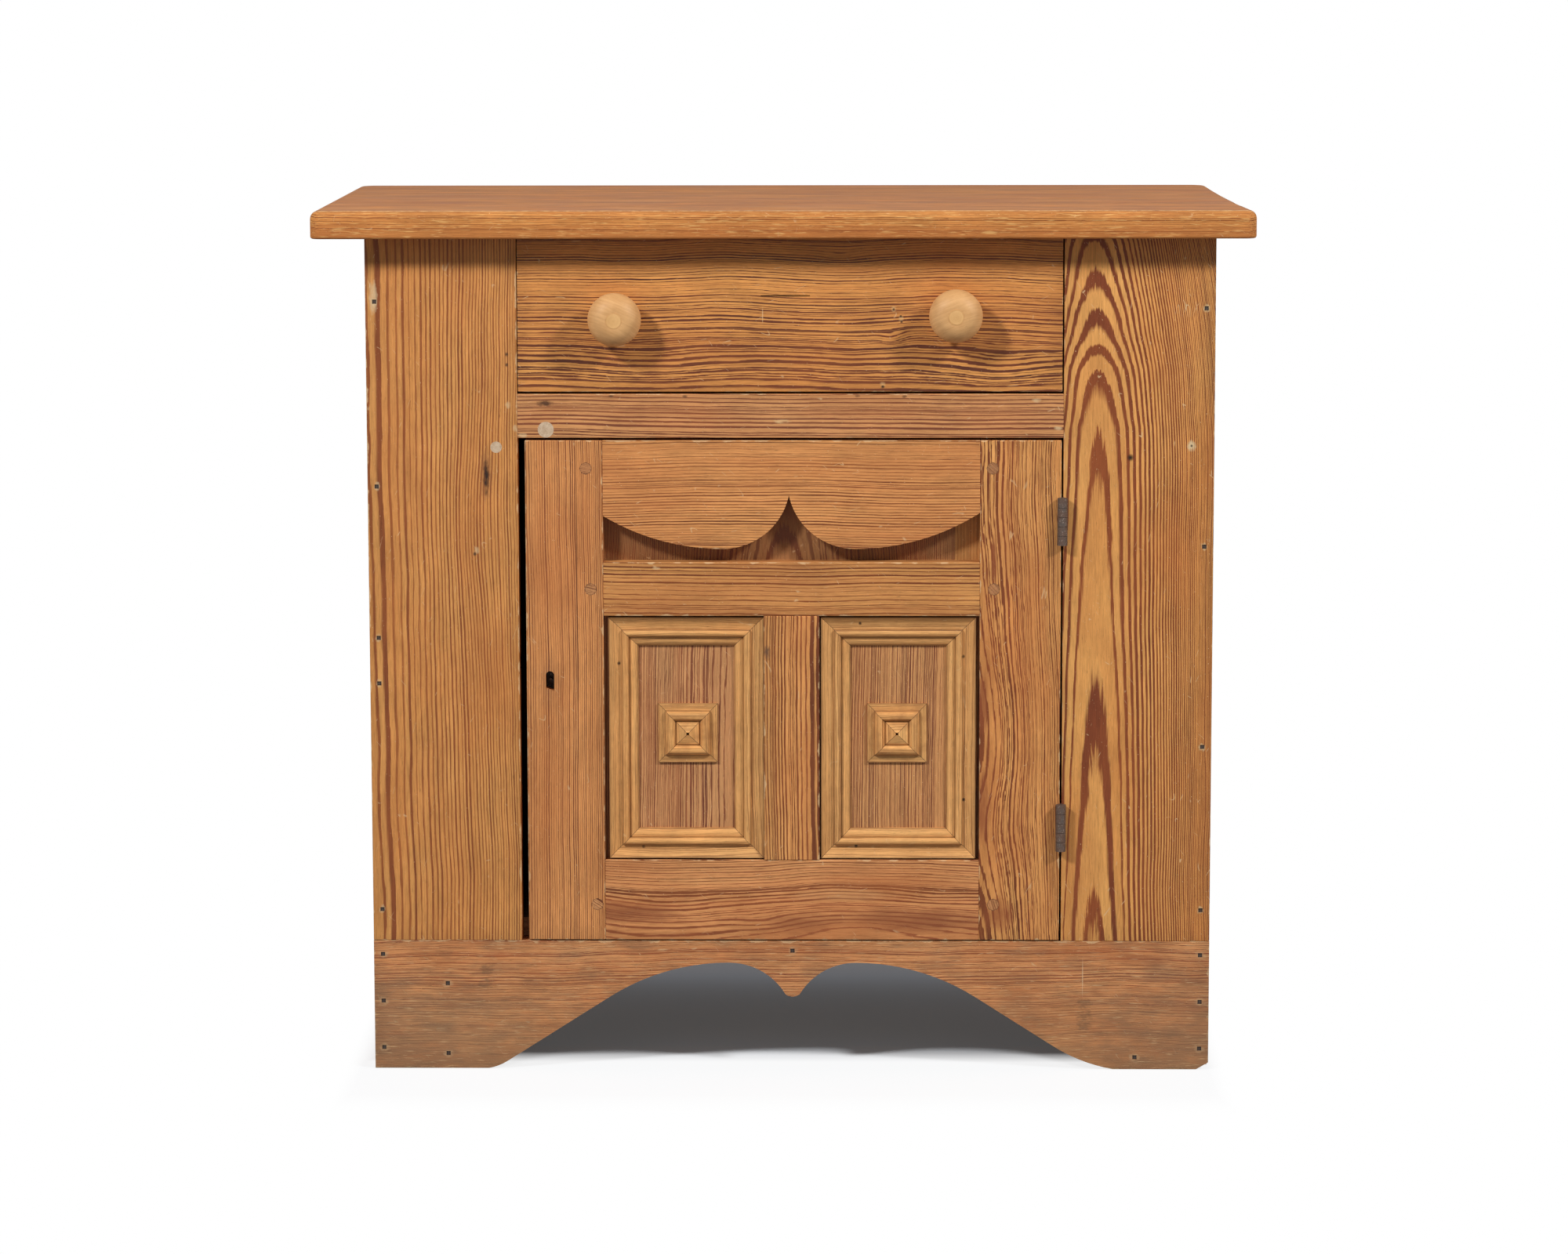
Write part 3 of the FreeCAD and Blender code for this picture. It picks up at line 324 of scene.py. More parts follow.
heart_pine("left_side", "yzx", -407.5, heart=-60.0, depth=90.0, growth=620.0, lean=0.004, seed=11.0)
heart_pine("right_side", "yzx", 420.5, heart=120.0, depth=70.0, growth=560.0, lean=-0.006, seed=23.0)

# --------------------------------------------------------- Bottom board, cleats and blocks
# Rough-sawn pine that is never seen with the door shut: the shelf of the cupboard, the strips
# it rests on, and the corner blocks behind the feet. It was left bare and has gone brown.
rough_early = (0.40, 0.225, 0.105, 1.0)
rough_gold = (0.47, 0.280, 0.140, 1.0)
rough_late = (0.235, 0.105, 0.043, 1.0)
rough_dark = (0.170, 0.078, 0.034, 1.0)
rough_pale = (0.58, 0.390, 0.220, 1.0)


def rough_pine(node, axes, face, heart, growth, seed, depth=60.0, name=None):
    """Unfinished inside wood, dull and dusty, its rings not as bold as on the face boards."""
    heart_pine(
        node,
        axes,
        face,
        heart,
        depth,
        growth,
        name=name,
        bold=0.6,
        early=rough_early,
        gold=rough_gold,
        late=rough_late,
        dark=rough_dark,
        pale=rough_pale,
        roughness=0.74,
        relief=0.8,
        scuffs=0.6,
        seed=seed,
    )


rough_pine("bottom_board", "yxz", 148.5, 20.0, 700.0, 31.0, name="bottom_pine")
for number, piece in enumerate(("left_bottom_cleat", "right_bottom_cleat")):
    rough_pine(piece, "zyx", 0.0, 60.0, 300.0, 35.0 + number)
rough_pine("front_bottom_cleat", "zxy", -182.0, 60.0, 300.0, 38.0, name="front_cleat_pine")
rough_pine("foot_blocks", "xzy", -182.0, 0.0, 500.0, 39.0, name="foot_block_pine")

# --------------------------------------------------------- Runners, guides and bearer
# The drawer slides on two runners let into the drawer rail and a bearer at the back, kept
# straight by a guide on each; all are planed pine strips, polished by use where they rub.
for number, piece in enumerate(("left_runner", "right_runner", "left_guide", "right_guide")):
    rough_pine(piece, "zyx", 0.0, 560.0, 700.0, 41.0 + number)
rough_pine("runner_bearer", "zxy", 180.0, 560.0, 700.0, 46.0, name="bearer_pine")

# ------------------------------------------------------------------ Back boards
# Four upright boards nailed to the back edges, rough from the saw and grey-brown with age.
back_hearts = (-330.0, -60.0, 150.0, 260.0)
for number, heart in enumerate(back_hearts):
    rough_pine("back_board_%d" % (number + 1), "xzy", 231.9, heart, 520.0, 51.0 + number, 75.0)

# ------------------------------------------------------------------ Left stile
# A wide upright board cut on the quarter: broad straight bands at its outer edge that close up
# towards the drawer. A small split knot sits below the filled hole near the drawer rail.
case_face = -204.1
left_nail_heights = (160.9, 387.4, 432.7, 582.6, 763.8)


def left_stile_marks(place, at):
    """A small split knot, torn fibres at the nails, pin holes and worn edges."""
    across, along = at.parts()[:2]
    ragged = 1.6 * cloud(at, (2.4, 6.0, 2.4), 3.0, 61.0)
    halo = smudge(across, along, (-291.0, 594.0), (7.5, 30.0), ragged)
    core = smudge(across, along, (-291.0, 592.0), (3.6, 17.0), ragged)
    worn = smudge(across, along, (-399.5, 768.0), (4.6, 18.0), ragged)
    torn = patches(at, [(-398.5, height) for height in left_nail_heights], (3.4, 4.6), 62.0, 2.6)
    pins = patches(at, [(-269.8, 712.2), (-269.8, 702.1), (-303.0, 516.0)], (1.9, 2.4), 63.0, 0.8)
    chips = patches(at, [(-269.0, 662.7), (-262.0, 640.0), (-301.0, 520.0)], (3.0, 4.2), 64.0)
    return [
        (halo * 0.60, (0.230, 0.085, 0.035, 1.0)),
        (core, (0.030, 0.014, 0.008, 1.0)),
        (worn * 0.8, (0.74, 0.54, 0.31, 1.0)),
        (torn * 0.7, (0.72, 0.52, 0.29, 1.0)),
        (chips * 0.6, (0.74, 0.52, 0.28, 1.0)),
        (pins * 0.9, (0.050, 0.028, 0.018, 1.0)),
    ]


heart_pine(
    "left_stile",
    "xzy",
    case_face,
    heart=-436.0,
    depth=30.0,
    growth=860.0,
    lean=0.0012,
    wander=6.0,
    uneven=0.25,
    share=0.50,
    bold=((-400.0, 1.05), (-270.0, 0.90)),
    early=(0.66, 0.268, 0.074, 1.0),
    late=(0.330, 0.100, 0.029, 1.0),
    dark=(0.240, 0.068, 0.023, 1.0),
    swirls=(((-300.0, 540.0), (26.0, 90.0), 2.2),),
    marks=left_stile_marks,
    edge_wear=1.5,
    seed=60.0,
)

# ------------------------------------------------------------------ Right stile
# The most figured board: cut flat, so its rings stand as nested arches one above another at the
# left, with straight close grain at the right.
right_nail_heights = (160.9, 324.7, 523.3, 756.8)


def right_stile_marks(place, at):
    """A round hole, a dab of old filler with its pin, and torn fibres at the nails."""
    across, along = at.parts()[:2]
    hole = smudge(across, along, (338.7, 611.0), (3.9, 4.0))
    torn = patches(at, [(411.5, height) for height in right_nail_heights], (3.4, 4.4), 71.0, 2.6)
    dab = patches(at, [(398.2, 622.5)], (4.6, 6.0), 72.0, 1.2)
    pin = smudge(across, along, (398.2, 622.5), (1.4, 1.6))
    strokes = smudge(across, along, (392.0, 757.0), (16.0, 9.0))
    lick = (1.0 - abs(cloud(at, (5.0, 14.0, 5.0), 0.0, 73.0)) * 30.0).held() * strokes
    return [
        (torn * 0.75, (0.76, 0.54, 0.28, 1.0)),
        (lick * 0.8, (0.80, 0.56, 0.30, 1.0)),
        (dab * 0.85, (0.80, 0.62, 0.36, 1.0)),
        (pin, (0.03, 0.015, 0.010, 1.0)),
        (hole, (0.014, 0.007, 0.004, 1.0)),
    ]


heart_pine(
    "right_stile",
    "xzy",
    case_face,
    heart=307.0,
    depth=62.0,
    growth=430.0,
    closing=58000.0,
    rise=(
        (0.0, -0.7),
        (187.0, 0.0),
        (409.0, 1.0),
        (641.0, 2.0),
        (699.0, 3.0),
        (724.0, 4.0),
        (764.0, 5.0),
        (822.0, 6.0),
        (850.0, 6.9),
    ),
    wander=4.5,
    ripple=0.18,
    uneven=0.15,
    share=((300.0, 0.46), (420.0, 0.70)),
    bold=((350.0, 1.12), (420.0, 1.0)),
    early=(0.72, 0.300, 0.080, 1.0),
    gold=(0.84, 0.420, 0.125, 1.0),
    late=(0.280, 0.072, 0.022, 1.0),
    dark=(0.190, 0.046, 0.018, 1.0),
    swirls=(((435.0, 885.0), (78.0, 105.0), 13.0),),
    marks=right_stile_marks,
    scuffs=1.4,
    seed=70.0,
)

# ------------------------------------------------------------------ Drawer rail
# A narrow rail across the front under the drawer, tenoned into both stiles; bold level grain.


def drawer_rail_marks(place, at):
    """A split knot, a pale eye in the grain, dents along the edge and chips."""
    across, along = at.parts()[:2]
    ragged = 2.0 * cloud(at, (2.4, 4.0, 2.4), 3.0, 82.0)
    knot = smudge(across, along, (664.5, -233.0), (3.6, 9.0), ragged)
    eye = smudge(across, along, (646.5, -1.5), (2.4, 9.0), ragged)
    pupil = smudge(across, along, (645.8, 1.0), (1.1, 4.0), ragged)
    dented = [(671.5, -168.0), (671.0, -96.0), (671.4, 72.0), (671.0, 118.0)]
    dents = patches(at, dented, (1.6, 3.2), 83.0)
    chips = patches(at, [(667.0, 247.0), (633.0, -255.0), (640.0, 268.0)], (2.4, 5.0), 84.0)
    return [
        (knot * 0.9, (0.07, 0.028, 0.014, 1.0)),
        (eye * 0.8, (0.78, 0.50, 0.24, 1.0)),
        (pupil * 0.8, (0.28, 0.09, 0.03, 1.0)),
        (dents * 0.8, (0.10, 0.04, 0.02, 1.0)),
        (chips * 0.7, (0.80, 0.56, 0.30, 1.0)),
    ]


heart_pine(
    "drawer_rail",
    "zxy",
    case_face,
    heart=560.0,
    depth=20.0,
    growth=760.0,
    lean=0.0016,
    wander=4.0,
    ripple=0.20,
    share=0.58,
    bold=1.0,
    early=(0.67, 0.292, 0.110, 1.0),
    gold=(0.76, 0.370, 0.140, 1.0),
    late=(0.250, 0.078, 0.034, 1.0),
    dark=(0.170, 0.054, 0.030, 1.0),
    marks=drawer_rail_marks,
    seed=80.0,
)

# ------------------------------------------------------------------ Scalloped base
# One board across the foot of the cupboard with two long arches sawn in it that meet in a point;
# it lies over the stiles' feet, nailed at its ends, and is dirty and scuffed from mopping.
base_nails = (
    (21.0, -398.5),
    (68.2, -398.5),
    (115.5, -398.5),
    (21.0, 411.5),
    (68.2, 411.5),
    (115.5, 411.5),
    (15.0, -334.5),
    (86.0, -334.5),
    (12.0, 347.5),
    (119.5, 8.0),
)
base_bruises = ((54.0, 297.0), (66.0, 297.0), (44.0, 297.0), (100.0, -295.0), (86.0, -296.0))


def base_marks(place, at):
    """Dirt, soot and bruises that thicken towards the feet, and torn fibres at the nails."""
    across, along = at.parts()[:2]
    ragged = 0.9 * cloud(at, (10.0, 30.0, 10.0), 3.0, 92.0)
    low = (1.0 - across / 105.0 + 1.4 * ragged).held()
    left_foot = smudge(across, along, (30.0, -400.0), (80.0, 170.0), 1.5 * ragged)
    right_foot = smudge(across, along, (40.0, 420.0), (90.0, 130.0), 1.5 * ragged)
    grime = ((cloud(at, (2.2, 26.0, 2.2), 4.0, 95.0) - 0.02) * 5.0).held()
    soot = ((cloud(at, (18.0, 44.0, 18.0), 5.0, 97.0) + 0.01) * 4.0).held()
    embers = ((cloud(at, (9.0, 38.0, 9.0), 4.0, 98.0) - 0.03) * 5.0).held()
    worn = ((cloud(at, (1.0, 18.0, 1.0), 3.0, 96.0) - 0.11) * 10.0).held()
    rubbed = ((cloud(at, (2.4, 9.0, 2.4), 3.0, 99.0) - 0.20) * 9.0).held()
    blot = smudge(across, along, (98.0, 77.0), (10.0, 5.0), 2.0 * ragged)
    bruises = patches(at, base_bruises, (6.0, 9.0), 93.0, 3.0)
    knot = smudge(across, along, (112.0, 350.0), (7.0, 44.0), 1.5 * ragged)
    gouge = smudge(across, along, (93.0, 295.4), (22.0, 0.7), 0.4 * ragged)
    torn = patches(at, base_nails, (4.6, 6.0), 94.0, 2.6)
    return [
        (embers * 0.40, (0.500, 0.150, 0.050, 1.0)),
        (grime * 0.40, (0.190, 0.092, 0.046, 1.0)),
        (soot * 0.46, (0.200, 0.115, 0.066, 1.0)),
        (low * 0.46, (0.280, 0.160, 0.082, 1.0)),
        (left_foot.most(right_foot) * 0.34, (0.200, 0.130, 0.082, 1.0)),
        (knot * 0.5, (0.300, 0.080, 0.030, 1.0)),
        (blot * 0.6, (0.130, 0.070, 0.040, 1.0)),
        (bruises * 0.45, (0.120, 0.075, 0.045, 1.0)),
        (worn.most(rubbed) * 0.62, (0.78, 0.500, 0.250, 1.0)),
        (gouge * 0.7, (0.80, 0.56, 0.32, 1.0)),
        (torn * 0.50, (0.62, 0.400, 0.210, 1.0)),
    ]


heart_pine(
    "base_apron",
    "zxy",
    case_face,
    heart=320.0,
    depth=30.0,
    growth=1350.0,
    name="base_pine",
    lean=0.0010,
    wander=9.0,
    ripple=0.24,
    uneven=0.8,
    share=0.44,
    bold=((15.0, 0.40), (125.0, 1.35)),
    early=(0.70, 0.290, 0.108, 1.0),
    gold=(0.78, 0.375, 0.150, 1.0),
    late=(0.370, 0.108, 0.042, 1.0),
    dark=(0.270, 0.078, 0.036, 1.0),
    redness=0.40,
    marks=base_marks,
    edge_wear=1.8,
    scuffs=1.2,
    roughness=0.60,
    relief=0.9,
    seed=90.0,
)

# ------------------------------------------------------------------ Top cleats and top board
# The top is one thick board that overhangs on all sides, its arrises rounded by hand and by use.
# It is screwed down from below through a cleat on each side board.
for number, piece in enumerate(("left_top_cleat", "right_top_cleat")):
    rough_pine(piece, "zyx", 0.0, 700.0, 600.0, 101.0 + number)


def top_marks(place, at):
    """A dull, streaked upper face, and a brighter front edge with small cracks."""
    across, along, inside = at.parts()
    ragged = cloud(at, (30.0, 60.0, 30.0), 3.0, 112.0)
    flat = (1.0 - inside / 1.5).held()
    streak = ((cloud(at, (7.0, 150.0, 7.0), 4.0, 114.0) + 0.02) * 4.0).held()
    bright = ((cloud(at, (10.0, 190.0, 10.0), 4.0, 116.0) - 0.03) * 5.0).held()
    dull = flat * (0.62 + 1.4 * ragged).held()
    spots = ((cloud(at, (5.0, 9.0, 5.0), 1.0, 115.0) - 0.27) * 14.0).held() * flat
    rubbed = (1.0 - abs(across + 229.4) / 1.5 + 2.6 * cloud(at, (5.0, 7.0, 5.0), 3.0, 113.0)).held()
    rubbed = rubbed * (1.0 - inside / 3.0).held()
    front = (inside / 2.0).held()
    lower = ((inside - 11.0) / 12.0 + 0.8 * ragged).held()
    glints = ((cloud(at, (1.3, 16.0, 1.3), 3.0, 117.0) - 0.07) * 9.0).held() * front
    cracks = ((cloud(at, (0.9, 10.0, 0.9), 2.0, 118.0) - 0.16) * 12.0).held() * front
    return [
        (dull * 0.52, (0.300, 0.158, 0.114, 1.0)),
        (streak * flat * 0.50, (0.205, 0.084, 0.052, 1.0)),
        (bright * flat * 0.34, (0.620, 0.330, 0.170, 1.0)),
        (spots * 0.5, (0.090, 0.040, 0.022, 1.0)),
        (lower * 0.35, (0.430, 0.125, 0.034, 1.0)),
        (glints * 0.55, (0.900, 0.530, 0.190, 1.0)),
        (cracks * 0.60, (0.200, 0.062, 0.026, 1.0)),
        (rubbed * 0.85, (0.90, 0.620, 0.300, 1.0)),
    ]


heart_pine(
    "top_board",
    "yxz",
    853.5,
    heart=-190.0,
    depth=290.0,
    growth=1150.0,
    name="top_pine",
    lean=0.0020,
    wander=9.0,
    ripple=0.40,
    uneven=0.6,
    share=0.40,
    bold=0.85,
    early=(0.68, 0.262, 0.072, 1.0),
    gold=(0.78, 0.345, 0.098, 1.0),
    late=(0.340, 0.102, 0.031, 1.0),
    dark=(0.240, 0.070, 0.025, 1.0),
    marks=top_marks,
    edge_wear=0.8,
    roughness=0.74,
    shine=0.10,
    seed=110.0,
)

# ------------------------------------------------------------------ Drawer
# A dovetailed box behind a thick front of heart pine, whose grain runs from fine at the top to
# broad dark waves at the foot. A long drying check has opened between the knobs.


def drawer_marks(place, at):
    """Worm holes and pins, a scratch, and the dark rim of the drying check."""
    across, along = at.parts()[:2]
    ragged = cloud(at, (2.0, 5.0, 2.0), 2.0, 122.0)
    rim = smudge(across, along, (769.0, 2.0), (2.6, 26.0), 1.2 * ragged)
    pin = smudge(across, along, (680.5, 97.0), (1.8, 2.2))
    pale_pin = patches(at, [(683.0, 97.0), (756.3, 107.5), (747.0, 114.6)], (3.2, 3.0), 123.0)
    worm = patches(at, [(756.0, 107.5), (749.3, 114.4), (743.9, 115.2)], (1.5, 1.6), 124.0, 0.6)
    scratch = smudge(across, along, (750.0, -20.1), (9.0, 0.7), 0.5 * ragged)
    return [
        (rim * 0.5, (0.120, 0.045, 0.018, 1.0)),
        (pale_pin * 0.55, (0.80, 0.50, 0.22, 1.0)),
        (scratch * 0.7, (0.84, 0.56, 0.28, 1.0)),
        (worm, (0.030, 0.014, 0.008, 1.0)),
        (pin, (0.020, 0.010, 0.006, 1.0)),
    ]


heart_pine(
    "drawer_front",
    "zxy",
    case_face,
    heart=612.0,
    depth=20.0,
    growth=980.0,
    lean=0.0010,
    wander=7.0,
    ripple=0.28,
    uneven=0.45,
    share=((690.0, 0.70), (775.0, 0.46)),
    bold=((735.0, 1.35), (800.0, 0.90)),
    early=(0.68, 0.272, 0.072, 1.0),
    gold=(0.78, 0.350, 0.096, 1.0),
    late=(0.185, 0.050, 0.021, 1.0),
    dark=(0.085, 0.026, 0.015, 1.0),
    swirls=(
        ((700.0, 210.0), (22.0, 46.0), 1.6),
        ((735.0, 130.0), (18.0, 34.0), -1.0),
        ((728.0, 106.0), (7.0, 12.0), 0.8),
        ((808.0, 54.0), (6.0, 16.0), 0.9),
        ((705.0, -120.0), (20.0, 60.0), 0.8),
    ),
    marks=drawer_marks,
    seed=120.0,
)
drawer_sides = (("drawer_left_side", -259.2), ("drawer_right_side", 272.0))
for number, (piece, face) in enumerate(drawer_sides):
    rough_pine(piece, "zyx", face, 640.0, 800.0, 131.0 + number)
rough_pine("drawer_back", "zxy", 185.9, 640.0, 800.0, 133.0)
rough_pine("drawer_bottom", "yxz", 691.9, 0.0, 900.0, 134.0)

# ------------------------------------------------------------------ Knobs
# Two turned birch knobs, newer than the cupboard and left unfinished: pale, with fine close
# grain. A round plug in the middle of each hides the screw that holds it.
birch_light = (0.79, 0.445, 0.185, 1.0)
birch_dark = (0.60, 0.305, 0.112, 1.0)
plug_light = (0.88, 0.520, 0.215, 1.0)
plug_dark = (0.66, 0.350, 0.125, 1.0)
knob_middles = ((-163.7, 747.45), (167.8, 750.85))
plug_radius = 7.2
plug_rim = 0.5


def birch(name, light, shadow, turn, seed, middles=()):
    """Turned birch. The grain lines lie at an angle, or run round the middle of each plug."""
    finish, place = fresh_finish(name)
    across, inside, up = place.parts()
    line = across * math.sin(turn) + up * math.cos(turn) + 0.25 * inside
    flow = across * math.cos(turn) - up * math.sin(turn)
    for middle in middles:
        around = apart(across, up, middle, (1.0, 1.0)).math("SQRT")
        line = around if middle == middles[0] else around.least(line)
    grain = line.node("ShaderNodeCombineXYZ", None, {0: line, 1: flow, 2: inside * 0.2})
    rings = cloud(grain, (1.6, 40.0, 6.0), 2.0, seed)
    fine = cloud(grain, (0.45, 6.0, 2.0), 2.0, seed + 1.0)
    fleck = ((cloud(grain, (0.4, 2.6, 1.0), 1.0, seed + 2.0) - 0.21) * 10.0).held()
    hand = cloud(place, (12.0, 14.0, 12.0), 2.0, seed + 4.0)
    mask = (0.45 + 1.1 * rings + 0.9 * fine + 1.0 * hand).held()
    colour = mask.between(light, shadow).shaded(1.0 - 0.26 * fleck)
    for middle in middles:
        around = apart(across, up, middle, (1.0, 1.0)).math("SQRT")
        rim = (1.0 - abs(around - plug_radius) / plug_rim).held()
        colour = (rim * 0.5).between(colour, plug_dark)
    height = 0.10 * rings + 0.12 * fine
    looks = {"Base Color": colour, "Roughness": 0.52 + 0.3 * fine}
    lay_finish(finish, looks, height, 0.001, 0.35, shine=0.30)
    return finish


dress("left_knob", birch("left_knob_birch", birch_light, birch_dark, 0.40, 1.0))
dress("right_knob", birch("right_knob_birch", birch_light, birch_dark, -0.35, 2.0))
dress("knob_plugs", birch("plug_birch", plug_light, plug_dark, 0.0, 3.0, knob_middles))

# ------------------------------------------------------------------ Door frame
# Two upright stiles with the rails and the middle muntin tenoned between them and pegged through.
# The wide top rail is sawn below into two scallops that meet in a sharp cusp.
door_face = -205.3
muntin_face = -205.9


def lock_stile_marks(place, at):
    """Wood darkened by hands round the key opening, and a long dark line."""
    across, along = at.parts()[:2]
    ragged = cloud(at, (4.0, 8.0, 4.0), 2.0, 142.0)
    handled = smudge(across, along, (-232.0, 390.0), (14.0, 34.0), 1.2 * ragged)
    line = smudge(across, along, (-203.0, 480.0), (0.9, 190.0), 0.5 * ragged)
    return [
        (handled * 0.35, (0.230, 0.100, 0.045, 1.0)),
        (line * 0.7, (0.130, 0.048, 0.022, 1.0)),
    ]


heart_pine(
    "lock_stile",
    "xzy",
    door_face,
    heart=-420.0,
    depth=60.0,
    growth=900.0,
    lean=0.0016,
    wander=4.0,
    ripple=0.20,
    share=0.46,
    bold=0.92,
    early=(0.71, 0.288, 0.092, 1.0),
    gold=(0.80, 0.358, 0.122, 1.0),
    late=(0.265, 0.074, 0.028, 1.0),
    dark=(0.190, 0.052, 0.022, 1.0),
    redness=0.36,
    marks=lock_stile_marks,
    edge_wear=1.5,
    seed=140.0,
)


def hinge_stile_marks(place, at):
    """Dark flames where the rings are cut flat."""
    across, along = at.parts()[:2]
    ragged = 1.8 * cloud(at, (5.0, 26.0, 5.0), 3.0, 152.0)
    high = smudge(across, along, (194.0, 367.0), (7.0, 36.0), ragged)
    middle = smudge(across, along, (197.0, 262.0), (8.0, 40.0), ragged)
    low = smudge(across, along, (212.0, 156.0), (18.0, 20.0), ragged)
    upper = smudge(across, along, (206.0, 508.0), (4.0, 30.0), ragged)
    flames = high.most(middle).most(low).most(upper)
    return [(flames * 0.75, (0.300, 0.082, 0.030, 1.0))]


heart_pine(
    "hinge_stile",
    "xzy",
    door_face,
    heart=166.0,
    depth=40.0,
    growth=470.0,
    rise=((120.0, 0.0), (230.0, 2.8), (345.0, 1.0), (470.0, 3.2), (640.0, 5.0)),
    wander=11.0,
    ripple=0.34,
    uneven=0.5,
    share=((190.0, 0.62), (270.0, 0.46)),
    bold=((195.0, 1.25), (270.0, 1.0)),
    early=(0.76, 0.312, 0.092, 1.0),
    gold=(0.86, 0.415, 0.130, 1.0),
    late=(0.235, 0.058, 0.022, 1.0),
    redness=0.45,
    marks=hinge_stile_marks,
    edge_wear=1.5,
    seed=150.0,
)
heart_pine(
    "top_rail",
    "zxy",
    door_face,
    heart=860.0,
    depth=40.0,
    growth=1700.0,
    lean=0.0016,
    wander=6.0,
    ripple=0.24,
    share=0.44,
    bold=((520.0, 1.0), (620.0, 0.66)),
    early=(0.69, 0.278, 0.090, 1.0),
    gold=(0.80, 0.362, 0.120, 1.0),
    late=(0.300, 0.088, 0.030, 1.0),
    edge_wear=1.5,
    scuffs=1.3,
    seed=160.0,
)
heart_pine(
    "lock_rail",
    "zxy",
    door_face,
    heart=340.0,
    depth=40.0,
    growth=1150.0,
    lean=0.0022,
    wander=5.0,
    ripple=0.22,
    share=0.46,
    bold=0.98,
    early=(0.62, 0.260, 0.084, 1.0),
    gold=(0.74, 0.350, 0.105, 1.0),
    edge_wear=1.6,
    seed=170.0,
)


def bottom_rail_marks(place, at):
    """Broad dark flames and a paler one above them."""
    across, along = at.parts()[:2]
    ragged = 1.3 * cloud(at, (9.0, 40.0, 9.0), 3.0, 182.0)
    first = smudge(across, along, (158.0, -160.0), (13.0, 60.0), ragged)
    second = smudge(across, along, (148.0, 20.0), (12.0, 40.0), ragged)
    third = smudge(across, along, (151.0, 130.0), (15.0, 90.0), ragged)
    light = smudge(across, along, (176.0, 60.0), (6.0, 60.0), 1.2 * ragged)
    return [
        (first * 0.75, (0.270, 0.082, 0.032, 1.0)),
        (second * 0.70, (0.280, 0.085, 0.032, 1.0)),
        (third * 0.75, (0.290, 0.088, 0.034, 1.0)),
        (light * 0.40, (0.680, 0.360, 0.150, 1.0)),
    ]


heart_pine(
    "bottom_rail",
    "zxy",
    door_face,
    heart=104.0,
    depth=30.0,
    growth=520.0,
    rise=((-230.0, 0.6), (-120.0, 1.9), (-10.0, 0.7), (90.0, 0.0), (240.0, 1.4)),
    wander=6.0,
    ripple=0.28,
    share=((140.0, 0.60), (205.0, 0.48)),
    bold=((150.0, 1.1), (205.0, 0.85)),
    early=(0.75, 0.308, 0.112, 1.0),
    gold=(0.82, 0.390, 0.145, 1.0),
    late=(0.350, 0.103, 0.042, 1.0),
    redness=0.5,
    swirls=(
        ((164.0, -110.0), (12.0, 42.0), 0.9),
        ((142.0, 70.0), (11.0, 50.0), -1.1),
        ((176.0, 150.0), (9.0, 34.0), 0.9),
        ((150.0, -20.0), (7.0, 26.0), 0.8),
    ),
    marks=bottom_rail_marks,
    edge_wear=1.3,
    seed=180.0,
)


def muntin_marks(place, at):
    """One bruise high on the muntin."""
    across, along = at.parts()[:2]
    ragged = 2.0 * cloud(at, (2.4, 5.0, 2.4), 3.0, 192.0)
    bruise = smudge(across, along, (-16.3, 419.0), (3.6, 8.0), ragged)
    return [(bruise * 0.75, (0.110, 0.060, 0.040, 1.0))]


heart_pine(
    "muntin",
    "xzy",
    muntin_face,
    heart=62.0,
    depth=14.0,
    growth=400.0,
    wander=6.0,
    ripple=0.26,
    share=0.60,
    bold=((-18.0, 0.98), (34.0, 1.2)),
    early=(0.74, 0.300, 0.092, 1.0),
    gold=(0.84, 0.405, 0.130, 1.0),
    late=(0.310, 0.085, 0.030, 1.0),
    marks=muntin_marks,
    edge_wear=1.4,
    seed=190.0,
)

# ------------------------------------------------------------------ Boards behind the frame
# The recess behind the scallops is closed by a wide board and a narrow strip; below the lock rail
# a flat panel stands in the groove each side of the muntin.
upper_panel_face = -186.3
lower_panel_face = -193.3


def upper_panel_marks(place, at):
    """A dark flame behind the cusp of the scallops."""
    across, along = at.parts()[:2]
    ragged = 1.2 * cloud(at, (6.0, 30.0, 6.0), 2.0, 202.0)
    flame = smudge(across, along, (0.0, 560.0), (20.0, 60.0), ragged)
    return [(flame * 0.6, (0.180, 0.060, 0.024, 1.0))]
